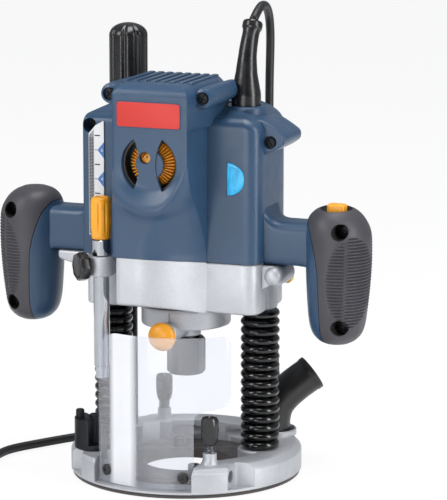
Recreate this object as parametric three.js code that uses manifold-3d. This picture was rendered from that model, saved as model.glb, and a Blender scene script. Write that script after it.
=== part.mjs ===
// Plunge router, millimetres, +Z up. The origin is the centre of the base on its underside.
// +X is the operator's right-hand grip, -Y is the dial side that faces the operator.
import * as THREE from 'three';
import { mergeVertices } from 'three/addons/utils/BufferGeometryUtils.js';
import Module from 'manifold-3d';

const wasm = await Module();
wasm.setup();

// ---------------------------------------------------------------- driving dimensions
const GAP = 0.3;                 // running or seating gap between neighbouring pieces

const BASE_RADIUS = 85;
const BASE_TOP = 22;             // top of the cast base
const BASE_RIM_TOP = 17.5;       // where the outer chamfer starts
const BASE_OPENING_RADIUS = 62;
const BASE_CHAMFER = 4.5;
const SUB_BASE_FLANGE = 2.5;     // thickness of the slide plate at the rim
const SUB_BASE_TOP = 7.5;        // top of its thick middle
const BIT_HOLE_RADIUS = 32;

const COLUMN_SPACING = 116;      // centre to centre
const COLUMN_RADIUS = 7.5;
const COLUMN_TOP = 168;
const COLUMN_WALL = 2.5;
const BELLOWS_RADIUS = 14.3;
const BELLOWS_ROOT_RADIUS = 11.6;
const BELLOWS_FOLDS = 16;
const BUSHING_WALL = 2.4;

const PLUNGE_TRAVEL = 50;

const CASTING_BOTTOM = 126.5;
const CASTING_TOP = 163.5;
const CASTING_HALF_WIDTH = 66.5;
const CASTING_REAR = 40;
const FRONT_BOX_BOTTOM = 136;    // underside of the part of the casting below the dial box
const FRONT_BOX_TOP = 170;

const HOUSING_HALF_WIDTH = 68;
const HOUSING_FRONT = -32;       // the two side panels
const HOUSING_REAR = 46;
const HOUSING_SHOULDER = 264;    // height of the shoulders at the side walls
const HOUSING_WALL = 3;
const HOUSING_SEAM = -11.4;      // plane where the front and rear shells meet
const DIAL_BOX_HALF_WIDTH = 29;
const DIAL_BOX_FRONT = -70;
const CROWN_TOP = 295;
const CROWN_REAR = 14;
const CROWN_HALF_WIDTH = 33;

const NOSE_RADIUS = 32.8;
const NOSE_BOTTOM = 111;
const COLLAR_RADIUS = 10.8;
const COLLAR_BOTTOM = 102;
const SHAFT_RADIUS = 7.5;
const SHAFT_TIP_RADIUS = 5;
const SHAFT_TOP = 276;
const CORE_RADIUS = 27.5;
const STATOR_BORE_RADIUS = 28.5;
const STATOR_RADIUS = 38.5;
const STATOR_BOTTOM = 186;
const STATOR_TOP = 238;
const COMMUTATOR_RADIUS = 14;
const COMMUTATOR_BOTTOM = 246;
const COMMUTATOR_TOP = 262;
const LOWER_BEARING_RADIUS = 17;
const LOWER_BEARING_BOTTOM = 116;
const LOWER_BEARING_HEIGHT = 12;
const UPPER_BEARING_RADIUS = 13;
const UPPER_BEARING_BOTTOM = 265;
const UPPER_BEARING_HEIGHT = 9;
const FAN_RADIUS = 34;
const FAN_BOTTOM = 168;
const FAN_HEIGHT = 10;
const COLLET_NUT_RADIUS = 14.3;
const COLLET_NUT_BOTTOM = 73.5;
const COLLET_NUT_TOP = 100.5;
const CUTTER_BORE_RADIUS = 6.35; // half-inch cutter shank

const HANDLE_X = 119.5;          // grip axis, left and right
const HANDLE_Y = -6;
const GRIP_BOTTOM = 107;
const GRIP_TOP = 206;
const ARM_BOTTOM = 162;
const ARM_TOP = 194;
const ARM_HALF_DEPTH = 14;

const ROD_X = -45.2;             // depth rod
const ROD_Y = -51;
const ROD_RADIUS = 5.8;
const ROD_TIP = 76.5;
const ROD_TOP = 179;
const ROD_BOSS_RADIUS = 9.5;
const ROD_BOSS_BOTTOM = 152.5;
const ROD_BOSS_TOP = 167;
const FINE_KNOB_TOP = 210;
const FINE_KNOB_RADIUS = 7.4;

const CLAMP_Z = 160;
const CLAMP_KNOB_RADIUS = 10.6;
const CLAMP_KNOB_DEPTH = 9;
const CLAMP_SHANK_RADIUS = 2.6;

const LOCK_BUTTON_Z = 109.5;
const LOCK_BUTTON_RADIUS = 10.5;
const LEVER_X = 44;              // plunge-lock lever pivot, behind the casting
const LEVER_Z = 150;

const TURRET_X = -54.5;
const TURRET_Y = -43.5;
const TURRET_RADIUS = 15;
const TURRET_FLOOR = 26;
const TURRET_STEPS = [33, 39, 45];
const TURRET_POST_TOP = 51;

const HEIGHT_ROD_X = -58;
const HEIGHT_ROD_Y = 31;
const HEIGHT_ROD_RADIUS = 6;
const HEIGHT_ROD_TOP = 302;
const HEIGHT_KNOB_RADIUS = 14.2;
const HEIGHT_KNOB_BOTTOM = 274;
const HEIGHT_KNOB_TOP = 326;

const GUIDE_ROD_Y = 57;          // edge-guide rods run along X at both sides
const GUIDE_ROD_Z = 13.6;
const GUIDE_BORE_RADIUS = 4.6;
const GUIDE_SCREW_X = 41;
const GUIDE_BOSS_TOP = 30;
const GUIDE_SCREW_TOP = 56;

const SHIELD_INNER_RADIUS = 77;
const SHIELD_WALL = 1.8;
const SHIELD_TOP = 116;
const SHIELD_WING_BOTTOM = 62;

const PORT_X = 52;
const PORT_Y = 44;
const PORT_RADIUS = 13;
const PORT_WALL = 2;

const DIAL_Z = 238.4;
const DIAL_RADIUS = 17;
const DIAL_OPENING_RADIUS = 21;

const LOCK_X = 118.5;            // lock-on button in the top of the right grip
const TRIGGER_X = 113.5;
const TRIGGER_HALF_WIDTH = 6.5;
const TRIGGER_BOTTOM = 142;
const TRIGGER_TOP = 176;
const TRIGGER_REAR = 24;

const CORD_RADIUS = 3.25;
const RELIEF_X = 45;
const RELIEF_Y = 5;
const RELIEF_RADIUS = 10.8;
const RELIEF_SEAT = 266;

const columnX = COLUMN_SPACING / 2;
const baseBottom = SUB_BASE_FLANGE + GAP;
const bushingRadius = COLUMN_RADIUS + GAP + BUSHING_WALL;
const springTop = COLUMN_TOP + PLUNGE_TRAVEL + 8;

// ---------------------------------------------------------------- shape helpers
function solid(geometry) {
  const bare = geometry.index ? geometry.toNonIndexed() : geometry;
  bare.deleteAttribute('normal');
  bare.deleteAttribute('uv');
  const merged = mergeVertices(bare, 1e-4);
  const body = new wasm.Manifold(new wasm.Mesh({
    numProp: 3,
    vertProperties: new Float32Array(merged.attributes.position.array),
    triVerts: new Uint32Array(merged.index.array),
  }));
  return body;
}

function geometryOf(body) {
  const mesh = body.getMesh();
  const geometry = new THREE.BufferGeometry();
  geometry.setAttribute('position', new THREE.BufferAttribute(mesh.vertProperties, 3));
  geometry.setIndex(new THREE.BufferAttribute(mesh.triVerts, 1));
  geometry.computeVertexNormals();
  return geometry;
}

const union = (...bodies) => bodies.reduce((sum, body) => sum.add(body));
const cut = (body, ...tools) => tools.reduce((rest, tool) => rest.subtract(tool), body);
const common = (...bodies) => bodies.reduce((rest, body) => rest.intersect(body));

// Upright cylinder from one height to another.
function drum(radius, bottom, top, x = 0, y = 0, sides = 20) {
  const geometry = new THREE.CylinderGeometry(radius, radius, top - bottom, sides);
  geometry.rotateX(Math.PI / 2);
  geometry.translate(x, y, (bottom + top) / 2);
  return solid(geometry);
}

// Cylinder lying along Y.
function drumY(radius, front, rear, x, z, sides = 16) {
  const geometry = new THREE.CylinderGeometry(radius, radius, rear - front, sides);
  geometry.translate(x, (front + rear) / 2, z);
  return solid(geometry);
}

// Cylinder lying along X.
function drumX(radius, left, right, y, z, sides = 14) {
  const geometry = new THREE.CylinderGeometry(radius, radius, right - left, sides);
  geometry.rotateZ(Math.PI / 2);
  geometry.translate((left + right) / 2, y, z);
  return solid(geometry);
}

function ring(inner, outer, bottom, top, x = 0, y = 0, sides = 20) {
  return cut(drum(outer, bottom, top, x, y, sides), drum(inner, bottom - 1, top + 1, x, y, sides));
}

function block(left, right, front, rear, bottom, top) {
  const geometry = new THREE.BoxGeometry(right - left, rear - front, top - bottom);
  geometry.translate((left + right) / 2, (front + rear) / 2, (bottom + top) / 2);
  return solid(geometry);
}

// Solid of revolution about a vertical axis; the profile is [radius, height] pairs going up.
function turned(profile, sides = 24, x = 0, y = 0) {
  const points = profile.map(([radius, height]) => new THREE.Vector2(radius, height));
  const geometry = new THREE.LatheGeometry(points, sides);
  geometry.rotateX(Math.PI / 2);
  geometry.translate(x, y, 0);
  return solid(geometry);
}

// Closed outline with rounded corners; each corner is [x, y, radius].
function outline(corners) {
  const shape = new THREE.Shape();
  corners.forEach(([x, y, radius = 0], i) => {
    const [px, py] = corners[(i + corners.length - 1) % corners.length];
    const [nx, ny] = corners[(i + 1) % corners.length];
    const corner = new THREE.Vector2(x, y);
    const towards = (qx, qy) => {
      const arm = new THREE.Vector2(qx - x, qy - y);
      return corner.clone().addScaledVector(arm.normalize(), radius);
    };
    const entry = radius ? towards(px, py) : corner;
    const leave = radius ? towards(nx, ny) : corner;
    if (i === 0) shape.moveTo(entry.x, entry.y);
    else shape.lineTo(entry.x, entry.y);
    if (radius) shape.quadraticCurveTo(x, y, leave.x, leave.y);
  });
  return shape;
}

function extruded(corners, depth, smoothness = 4) {
  return new THREE.ExtrudeGeometry(outline(corners), {
    depth, bevelEnabled: false, curveSegments: smoothness,
  });
}

// Outline in X and Y, raised along Z.
function slab(corners, bottom, top, smoothness = 4) {
  const geometry = extruded(corners, top - bottom, smoothness);
  geometry.translate(0, 0, bottom);
  return solid(geometry);
}

// Outline in X and Z, drawn along Y.
function slabXZ(corners, front, rear, smoothness = 4) {
  const geometry = extruded(corners, rear - front, smoothness);
  geometry.rotateX(Math.PI / 2);
  geometry.translate(0, rear, 0);
  return solid(geometry);
}

// Outline in Y and Z, drawn along X.
function slabYZ(corners, left, right, smoothness = 4) {
  const geometry = extruded(corners, right - left, smoothness);
  geometry.applyMatrix4(new THREE.Matrix4().set(0, 0, 1, left, 1, 0, 0, 0, 0, 1, 0, 0, 0, 0, 0, 1));
  return solid(geometry);
}

// Skin over a stack of closed rings, each with the same number of points, capped at both ends.
function loft(rings) {
  const count = rings[0].length;
  const position = [];
  const index = [];
  rings.flat().forEach((point) => position.push(point.x, point.y, point.z));
  for (let level = 0; level < rings.length - 1; level += 1) {
    for (let i = 0; i < count; i += 1) {
      const next = (i + 1) % count;
      const a = level * count + i;
      const b = level * count + next;
      index.push(a, b, b + count, a, b + count, a + count);
    }
  }
  [0, rings.length - 1].forEach((level) => {
    const middle = new THREE.Vector3();
    rings[level].forEach((point) => middle.add(point));
    middle.divideScalar(count);
    const hub = position.length / 3;
    position.push(middle.x, middle.y, middle.z);
    for (let i = 0; i < count; i += 1) {
      const a = level * count + i;
      const b = level * count + (i + 1) % count;
      if (level === 0) index.push(hub, b, a);
      else index.push(hub, a, b);
    }
  });
  const geometry = new THREE.BufferGeometry();
  geometry.setAttribute('position', new THREE.Float32BufferAttribute(position, 3));
  geometry.setIndex(index);
  return solid(geometry);
}

// Level ring whose radius may change with the angle.
function levelRing(x, y, z, radiusX, radiusY, count, wave = () => 1) {
  return Array.from({ length: count }, (_, i) => {
    const angle = (2 * Math.PI * i) / count;
    const scale = wave(angle);
    return new THREE.Vector3(
      x + radiusX * scale * Math.cos(angle),
      y + radiusY * scale * Math.sin(angle),
      z,
    );
  });
}

// Round bar of changing radius along a curve; radii are given at even steps.
function tapered(curve, radii, count = 16) {
  const steps = radii.length - 1;
  const frames = curve.computeFrenetFrames(steps, false);
  const rings = radii.map((radius, i) => {
    const centre = curve.getPointAt(i / steps);
    return Array.from({ length: count }, (_, k) => {
      const angle = (2 * Math.PI * k) / count;
      return centre.clone()
        .addScaledVector(frames.normals[i], radius * Math.cos(angle))
        .addScaledVector(frames.binormals[i], radius * Math.sin(angle));
    });
  });
  return loft(rings);
}

// Round bar of one radius along a curve.
function pipe(curve, radius, steps, sides) {
  const section = new THREE.Shape();
  for (let i = 0; i < sides; i += 1) {
    const angle = (2 * Math.PI * i) / sides;
    const point = [radius * Math.cos(angle), radius * Math.sin(angle)];
    if (i === 0) section.moveTo(...point);
    else section.lineTo(...point);
  }
  section.closePath();
  return solid(new THREE.ExtrudeGeometry(section, { steps, extrudePath: curve, bevelEnabled: false }));
}

// ---------------------------------------------------------------- finishes
const finishes = {
  silver: ['#b9bdc1', 0.45, 0.7],
  chrome: ['#d8dadd', 0.15, 1],
  steel: ['#9a9da1', 0.35, 1],
  blue: ['#2f4a68', 0.5, 0],
  rubber: ['#46464a', 0.8, 0],
  black: ['#1c1c1e', 0.6, 0],
  orange: ['#f09a1c', 0.45, 0],
  clear: ['#dfe6ec', 0.2, 0],
  red: ['#c93a2c', 0.5, 0],
  white: ['#e9e9e6', 0.6, 0],
  cyan: ['#2fb4e8', 0.25, 0],
  copper: ['#b06a3a', 0.4, 1],
  board: ['#2c6a3c', 0.6, 0],
};

const router = new THREE.Group();

function add(name, body, finish) {
  const [color, roughness, metalness] = finishes[finish];
  const material = new THREE.MeshStandardMaterial({ color, roughness, metalness });
  const mesh = new THREE.Mesh(geometryOf(body), material);
  mesh.name = name;
  router.add(mesh);
}

const bothSides = [['left', -1], ['right', 1]];

// ---------------------------------------------------------------- base
function makeBase() {
  const rimFoot = baseBottom;
  let body = turned([
    [BASE_OPENING_RADIUS, rimFoot],
    [BASE_RADIUS, rimFoot],
    [BASE_RADIUS, BASE_RIM_TOP],
    [BASE_RADIUS - BASE_CHAMFER, BASE_TOP],
    [BASE_OPENING_RADIUS + 1.5, BASE_TOP],
    [BASE_OPENING_RADIUS, BASE_TOP - 1.5],
    [BASE_OPENING_RADIUS, rimFoot],
  ], 44);
  const disc = drum(BASE_RADIUS - 0.6, rimFoot, GUIDE_BOSS_TOP, 0, 0, 44);
  const rodBlocks = union(
    block(35, 57, -GUIDE_ROD_Y - 19, -GUIDE_ROD_Y + 10, rimFoot, BASE_TOP),
    block(-57, -42, -GUIDE_ROD_Y - 15, -GUIDE_ROD_Y + 10, rimFoot, BASE_TOP),
    block(-57, -33, GUIDE_ROD_Y - 10, GUIDE_ROD_Y + 15, rimFoot, BASE_TOP),
    block(30, 45, GUIDE_ROD_Y - 10, GUIDE_ROD_Y + 15, rimFoot, BASE_TOP),
  );
  body = union(body, common(rodBlocks, disc));
  // Window for the clear shield, then the two pockets where the guide rods leave the blocks.
  body = cut(body, block(-42, 35, -BASE_RADIUS - 5, -46, SUB_BASE_FLANGE + 2, BASE_TOP + 3));
  body = cut(body, slab([[57, -47], [57, -92], [92, -60], [74, -45.5]], 5, BASE_TOP + 3));
  body = cut(body, slab([[-57, -47], [-74, -45.5], [-92, -60], [-57, -92]], 5, BASE_TOP + 3));
  body = union(
    body,
    drum(16.5, rimFoot, BASE_TOP, columnX, 0),
    drum(16.5, rimFoot, BASE_TOP, -columnX, 0),
    drum(9.5, rimFoot, BASE_TOP, HEIGHT_ROD_X, HEIGHT_ROD_Y),
    drum(9, rimFoot, BASE_TOP, TURRET_X, TURRET_Y),
    drum(5.2, GUIDE_ROD_Z, GUIDE_BOSS_TOP, GUIDE_SCREW_X, -GUIDE_ROD_Y, 16),
    drum(5.2, GUIDE_ROD_Z, GUIDE_BOSS_TOP, -GUIDE_SCREW_X, GUIDE_ROD_Y, 16),
    ring(PORT_RADIUS + 2 + GAP, PORT_RADIUS + 4.5, BASE_TOP - 1, BASE_TOP + 4, PORT_X, PORT_Y),
  );
  return cut(
    body,
    drumX(GUIDE_BORE_RADIUS, -80, 80, -GUIDE_ROD_Y, GUIDE_ROD_Z),
    drumX(GUIDE_BORE_RADIUS, -66, 48, GUIDE_ROD_Y, GUIDE_ROD_Z),
    drum(2.7 + GAP, GUIDE_ROD_Z, GUIDE_BOSS_TOP + 1, GUIDE_SCREW_X, -GUIDE_ROD_Y, 12),
    drum(2.7 + GAP, GUIDE_ROD_Z, GUIDE_BOSS_TOP + 1, -GUIDE_SCREW_X, GUIDE_ROD_Y, 12),
    drum(COLUMN_RADIUS + GAP, 0, BASE_TOP + 1, columnX, 0),
    drum(COLUMN_RADIUS + GAP, 0, BASE_TOP + 1, -columnX, 0),
    drum(HEIGHT_ROD_RADIUS + GAP, 0, BASE_TOP + 1, HEIGHT_ROD_X, HEIGHT_ROD_Y, 20),
    drum(4 + GAP, 8, BASE_TOP + 1, TURRET_X, TURRET_Y, 16),
    drum(PORT_RADIUS - PORT_WALL, 10, BASE_TOP + 1, PORT_X - 2, PORT_Y - 2),
  );
}
add('base_casting', makeBase(), 'silver');

function makeSlidePlate() {
  const plate = turned([
    [BIT_HOLE_RADIUS, 0],
    [BASE_RADIUS - 1.2, 0],
    [BASE_RADIUS - 1.2, SUB_BASE_FLANGE],
    [BASE_OPENING_RADIUS - 1, SUB_BASE_FLANGE],
    [BASE_OPENING_RADIUS - 1, SUB_BASE_TOP],
    [BIT_HOLE_RADIUS, SUB_BASE_TOP],
    [BIT_HOLE_RADIUS, 0],
  ], 44);
  // Keep clear of the bosses that the casting carries inside its opening.
  const bosses = [
    drum(17.5, SUB_BASE_FLANGE, 30, columnX, 0),
    drum(17.5, SUB_BASE_FLANGE, 30, -columnX, 0),
    drum(10.5, SUB_BASE_FLANGE, 30, HEIGHT_ROD_X, HEIGHT_ROD_Y),
    drum(10.5, SUB_BASE_FLANGE, 30, TURRET_X, TURRET_Y),
    block(34, 58, -80, -GUIDE_ROD_Y + 11, SUB_BASE_FLANGE, 30),
    block(-58, -41, -80, -GUIDE_ROD_Y + 11, SUB_BASE_FLANGE, 30),
    block(-58, -32, GUIDE_ROD_Y - 11, 80, SUB_BASE_FLANGE, 30),
    block(29, 46, GUIDE_ROD_Y - 11, 80, SUB_BASE_FLANGE, 30),
  ];
  const guideBosses = [[-20, 35], [20, -35]].map(([x, y]) => (
    cut(drum(4.5, 1, 14, x, y, 16), drum(2, 9, 15, x, y, 12))
  ));
  return union(cut(plate, ...bosses), ...guideBosses);
}
add('slide_plate', makeSlidePlate(), 'black');

// ---------------------------------------------------------------- columns, springs, bellows
function bellows(x) {
  const bottom = BASE_TOP + GAP;
  const height = CASTING_BOTTOM - GAP - bottom;
  const pitch = height / BELLOWS_FOLDS;
  const profile = [[COLUMN_RADIUS + 0.6, bottom]];
  for (let fold = 0; fold < BELLOWS_FOLDS; fold += 1) {
    profile.push([BELLOWS_ROOT_RADIUS, bottom + fold * pitch]);
    profile.push([BELLOWS_RADIUS, bottom + (fold + 0.5) * pitch]);
  }
  profile.push([BELLOWS_ROOT_RADIUS, bottom + height]);
  profile.push([COLUMN_RADIUS + 0.6, bottom + height]);
  profile.push([COLUMN_RADIUS + 0.6, bottom]);
  return turned(profile, 12, x);
}

bothSides.forEach(([side, sign]) => {
  const x = sign * columnX;
  const bore = COLUMN_RADIUS - COLUMN_WALL;
  const tube = cut(
    drum(COLUMN_RADIUS, baseBottom, COLUMN_TOP, x, 0, 20),
    drum(bore, BASE_TOP + 8, COLUMN_TOP + 1, x, 0, 16),
  );
  add(`column_${side}`, tube, 'chrome');
  add(`return_spring_${side}`, turned([
    [bore - 1.8, BASE_TOP + 8 + GAP],
    [bore - GAP, BASE_TOP + 8 + GAP],
    [bore - GAP, springTop],
    [bore - 1.8, springTop],
    [bore - 1.8, BASE_TOP + 8 + GAP],
  ], 12, x), 'steel');
  add(`bellows_${side}`, bellows(x), 'black');
  const bushing = ring(COLUMN_RADIUS + GAP, bushingRadius, CASTING_BOTTOM + 1, CASTING_TOP - 1, x, 0, 20);
  add(`plunge_bushing_${side}`, bushing, 'steel');
});

// ---------------------------------------------------------------- height rod and knob
add('height_rod', drum(HEIGHT_ROD_RADIUS, baseBottom, HEIGHT_ROD_TOP, HEIGHT_ROD_X, HEIGHT_ROD_Y, 20), 'black');

function fluted(x, y, radius, bottom, top, flutes, depth, domeHeight) {
  const wave = (angle) => 1 - depth * Math.max(0, Math.cos(flutes * angle)) ** 2;
  const shoulder = top - domeHeight;
  const levels = [[bottom, 1], [shoulder, 1]];
  for (let step = 1; step <= 3; step += 1) {
    const turn = (step / 3) * (Math.PI / 2) * 0.85;
    levels.push([shoulder + domeHeight * Math.sin(turn) / Math.sin(0.85 * Math.PI / 2), Math.cos(turn)]);
  }
  return loft(levels.map(([z, scale]) => (
    levelRing(x, y, z, radius * scale, radius * scale, flutes * 4, wave)
  )));
}

add('height_knob', cut(
  fluted(HEIGHT_ROD_X, HEIGHT_ROD_Y, HEIGHT_KNOB_RADIUS, HEIGHT_KNOB_BOTTOM, HEIGHT_KNOB_TOP, 9, 0.1, 9),
  drum(HEIGHT_ROD_RADIUS + GAP, 0, HEIGHT_ROD_TOP + GAP, HEIGHT_ROD_X, HEIGHT_ROD_Y, 20),
), 'black');

// ---------------------------------------------------------------- depth turret
function sector(radius, from, to, bottom, top) {
  const steps = 8;
  const corners = [[TURRET_X, TURRET_Y]];
  for (let i = 0; i <= steps; i += 1) {
    const angle = THREE.MathUtils.degToRad(from + ((to - from) * i) / steps);
    corners.push([TURRET_X + radius * Math.cos(angle), TURRET_Y + radius * Math.sin(angle)]);
  }
  return slab(corners, bottom, top);
}

function makeTurret() {
  const foot = BASE_TOP + GAP;
  const [low, middle, high] = TURRET_STEPS;
  const postAngle = THREE.MathUtils.degToRad(206);
  const postX = TURRET_X + 10.8 * Math.cos(postAngle);
  const postY = TURRET_Y + 10.8 * Math.sin(postAngle);
  return union(
    drum(TURRET_RADIUS, foot, TURRET_FLOOR, TURRET_X, TURRET_Y, 24),
    sector(TURRET_RADIUS, 10, 75, foot, low),
    sector(TURRET_RADIUS, 75, 140, foot, middle),
    sector(TURRET_RADIUS, 140, 275, foot, high),
    drum(4.2, foot, high + 2, TURRET_X, TURRET_Y, 16),
    drum(4, 10, foot + 1, TURRET_X, TURRET_Y, 16),
    drum(3.1, high - 2, TURRET_POST_TOP, postX, postY, 12),
  );
}
add('depth_turret', makeTurret(), 'black');

// ---------------------------------------------------------------- guide-rod thumb screws
function thumbScrew(x, y) {
  const head = GUIDE_BOSS_TOP + 6;
  const grip = common(
    turned([[0, head], [4.2, head], [6.3, head + 5], [6.4, GUIDE_SCREW_TOP - 2], [5.6, GUIDE_SCREW_TOP],
      [0, GUIDE_SCREW_TOP]], 16, x, y),
    block(x - 7, x + 7, y - 4.4, y + 4.4, head - 1, GUIDE_SCREW_TOP + 1),
  );
  return union(grip, drum(2.7, GUIDE_ROD_Z + 5, head + 1, x, y, 12));
}
add('guide_screw_front', thumbScrew(GUIDE_SCREW_X, -GUIDE_ROD_Y), 'black');
add('guide_screw_rear', thumbScrew(-GUIDE_SCREW_X, GUIDE_ROD_Y), 'black');

// ---------------------------------------------------------------- clear shield
function arcWall(fromX, toX, bottom, top) {
  const outer = SHIELD_INNER_RADIUS + SHIELD_WALL;
  const start = -Math.PI + Math.acos(-fromX / outer);
  const end = -Math.acos(toX / outer);
  const steps = Math.ceil((end - start) / 0.09);
  const along = (radius, i) => {
    const angle = start + ((end - start) * i) / steps;
    return [radius * Math.cos(angle), radius * Math.sin(angle)];
  };
  const corners = [];
  for (let i = 0; i <= steps; i += 1) corners.push(along(outer, i));
  for (let i = steps; i >= 0; i -= 1) corners.push(along(SHIELD_INNER_RADIUS, i));
  return slab(corners, bottom, top);
}
const shieldFoot = SUB_BASE_FLANGE + 2 + GAP;
add('chip_shield', union(
  arcWall(-41.5, 34.5, shieldFoot, SHIELD_TOP),
  arcWall(-41.5, 57, SHIELD_WING_BOTTOM, SHIELD_TOP),
), 'clear');

// ---------------------------------------------------------------- dust port
function makeDustPort() {
  const foot = BASE_TOP + GAP;
  const route = (extra) => new THREE.CatmullRomCurve3([
    new THREE.Vector3(PORT_X, PORT_Y, foot - extra),
    new THREE.Vector3(PORT_X, PORT_Y, foot + 12),
    new THREE.Vector3(PORT_X + 3, PORT_Y + 2.5, foot + 23),
    new THREE.Vector3(PORT_X + 11, PORT_Y + 9, foot + 33),
    new THREE.Vector3(PORT_X + 24 + extra, PORT_Y + 19 + extra * 0.8, foot + 44 + extra * 0.6),
  ]);
  const wall = PORT_RADIUS - PORT_WALL;
  return cut(
    union(
      pipe(route(0), PORT_RADIUS, 8, 16),
      drum(PORT_RADIUS + 2, foot, foot + 4, PORT_X, PORT_Y, 24),
    ),
    pipe(route(3), wall, 8, 16),
  );
}
add('dust_port', makeDustPort(), 'black');

// ---------------------------------------------------------------- head casting
const mainPlan = [
  [CASTING_HALF_WIDTH, HOUSING_FRONT, 12],
  [CASTING_HALF_WIDTH, CASTING_REAR, 24],
  [-CASTING_HALF_WIDTH, CASTING_REAR, 24],
  [-CASTING_HALF_WIDTH, HOUSING_FRONT, 8],
];

function makeCasting() {
  const boxLeft = -DIAL_BOX_HALF_WIDTH + 2;
  const boxRight = DIAL_BOX_HALF_WIDTH;
  const webTop = ARM_BOTTOM - GAP;
  const body = union(
    slab(mainPlan, CASTING_BOTTOM, CASTING_TOP),
    slab([[boxLeft, DIAL_BOX_FRONT, 4], [boxRight, DIAL_BOX_FRONT, 12], [boxRight, -28], [boxLeft, -28]],
      FRONT_BOX_BOTTOM, FRONT_BOX_TOP),
    slabXZ([[-94, 155.5, 3], [-64, 148], [-64, webTop], [-94, webTop]], -19, 7),
    slabXZ([[84, webTop], [64, webTop], [64, 144], [76, 149, 4], [84, 157, 3]], -19, 7),
    drum(ROD_BOSS_RADIUS, ROD_BOSS_BOTTOM, ROD_BOSS_TOP, ROD_X, ROD_Y, 20),
    block(ROD_X - 7, ROD_X + 9, ROD_Y, -28, ROD_BOSS_BOTTOM + 1, CASTING_TOP),
    drum(11, CASTING_BOTTOM, CASTING_TOP, HEIGHT_ROD_X, HEIGHT_ROD_Y),
    drum(NOSE_RADIUS, NOSE_BOTTOM, CASTING_BOTTOM + 1, 0, 0, 32),
    drum(COLLAR_RADIUS, COLLAR_BOTTOM, NOSE_BOTTOM + 1, 0, 0, 20),
    drumY(7.5, -38, -10, 0, 110, 16),
  );
  return cut(
    body,
    drum(38, 145, FRONT_BOX_TOP + 1, 0, 0, 32),
    block(-40, 40, HOUSING_FRONT - GAP, -20, CASTING_TOP, FRONT_BOX_TOP + 1),
    drum(LOWER_BEARING_RADIUS + GAP, LOWER_BEARING_BOTTOM, 146, 0, 0),
    drum(SHAFT_RADIUS + 1, COLLAR_BOTTOM - 1, LOWER_BEARING_BOTTOM + 1, 0, 0, 20),
    block(-22, 22, DIAL_BOX_FRONT + 4, -36, 150, FRONT_BOX_TOP + 1),
    drum(bushingRadius + GAP, CASTING_BOTTOM - 1, CASTING_TOP + 1, columnX, 0),
    drum(bushingRadius + GAP, CASTING_BOTTOM - 1, CASTING_TOP + 1, -columnX, 0),
    drum(HEIGHT_ROD_RADIUS + GAP, CASTING_BOTTOM - 1, CASTING_TOP + 1, HEIGHT_ROD_X, HEIGHT_ROD_Y, 20),
    drum(ROD_RADIUS + GAP, ROD_BOSS_BOTTOM - 1, ROD_BOSS_TOP + 1, ROD_X, ROD_Y, 20),
    clampBore(),
    drumY(3.8 + GAP, -40, -6, 0, LOCK_BUTTON_Z, 16),
    drumY(3 + GAP, 30, CASTING_REAR + 1, LEVER_X, LEVER_Z, 14),
  );
}

// The clamp screw points at the depth rod from the front left.
const clampDirection = new THREE.Vector3(-0.7, -0.714, 0).normalize();

function alongClamp(radius, from, to, sides = 16) {
  const geometry = new THREE.CylinderGeometry(radius, radius, to - from, sides);
  geometry.rotateX(Math.PI / 2);
  geometry.translate(0, 0, (from + to) / 2);
  const turn = new THREE.Quaternion().setFromUnitVectors(new THREE.Vector3(0, 0, 1), clampDirection);
  geometry.applyQuaternion(turn);
  geometry.translate(ROD_X, ROD_Y, CLAMP_Z);
  return solid(geometry);
}

function clampBore() {
  return alongClamp(CLAMP_SHANK_RADIUS + GAP, ROD_RADIUS - 1, 14);
}
add('head_casting', makeCasting(), 'silver');

// ---------------------------------------------------------------- blue housing shells
function housingShape(inset) {
  const half = HOUSING_HALF_WIDTH - inset;
  const front = HOUSING_FRONT + inset;
  const rear = HOUSING_REAR - inset;
  const floor = inset ? CASTING_TOP - 2 : CASTING_TOP + GAP;
  const boxFloor = inset ? FRONT_BOX_TOP - 2 : FRONT_BOX_TOP + GAP;
  const shoulder = HOUSING_SHOULDER - inset;
  const boxHalf = DIAL_BOX_HALF_WIDTH - inset;
  const boxFront = DIAL_BOX_FRONT + inset;
  const crownTop = CROWN_TOP - inset;
  const crownHalf = CROWN_HALF_WIDTH - inset;
  const main = common(
    slab([[half, front, 12 - inset], [half, rear, 34 - inset], [-half, rear, 34 - inset],
      [-half, front, 5 - inset]], floor, crownTop),
    slabXZ([[half, floor], [half, shoulder, 4], [44, shoulder + 11], [0, shoulder + 16],
      [-44, shoulder + 11], [-half, shoulder, 4], [-half, floor]], front - 1, rear + 1),
  );
  const box = slab([[-boxHalf, boxFront, 3 - inset], [boxHalf, boxFront, 3 - inset], [boxHalf, -15],
    [-boxHalf, -15]], boxFloor, crownTop - 8);
  const crown = common(
    slab([[-boxHalf, boxFront, 3 - inset], [boxHalf, boxFront, 3 - inset], [crownHalf, -42],
      [crownHalf, -12], [crownHalf - 3, CROWN_REAR - inset, 8], [-crownHalf + 3, CROWN_REAR - inset, 8],
      [-crownHalf, -12], [-crownHalf, -42]], shoulder, crownTop),
    slabYZ([[boxFront, shoulder - 5], [CROWN_REAR - inset, shoulder - 5],
      [CROWN_REAR - inset, crownTop - 10, 3], [0, crownTop, 4], [boxFront, crownTop, 8]], -50, 50),
    slabXZ([[-crownHalf, shoulder - 5], [crownHalf, shoulder - 5], [crownHalf, crownTop - 5],
      [crownHalf - 5, crownTop], [-crownHalf + 5, crownTop], [-crownHalf, crownTop - 5]], -90, 60),
  );
  return union(main, box, crown);
}

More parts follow.
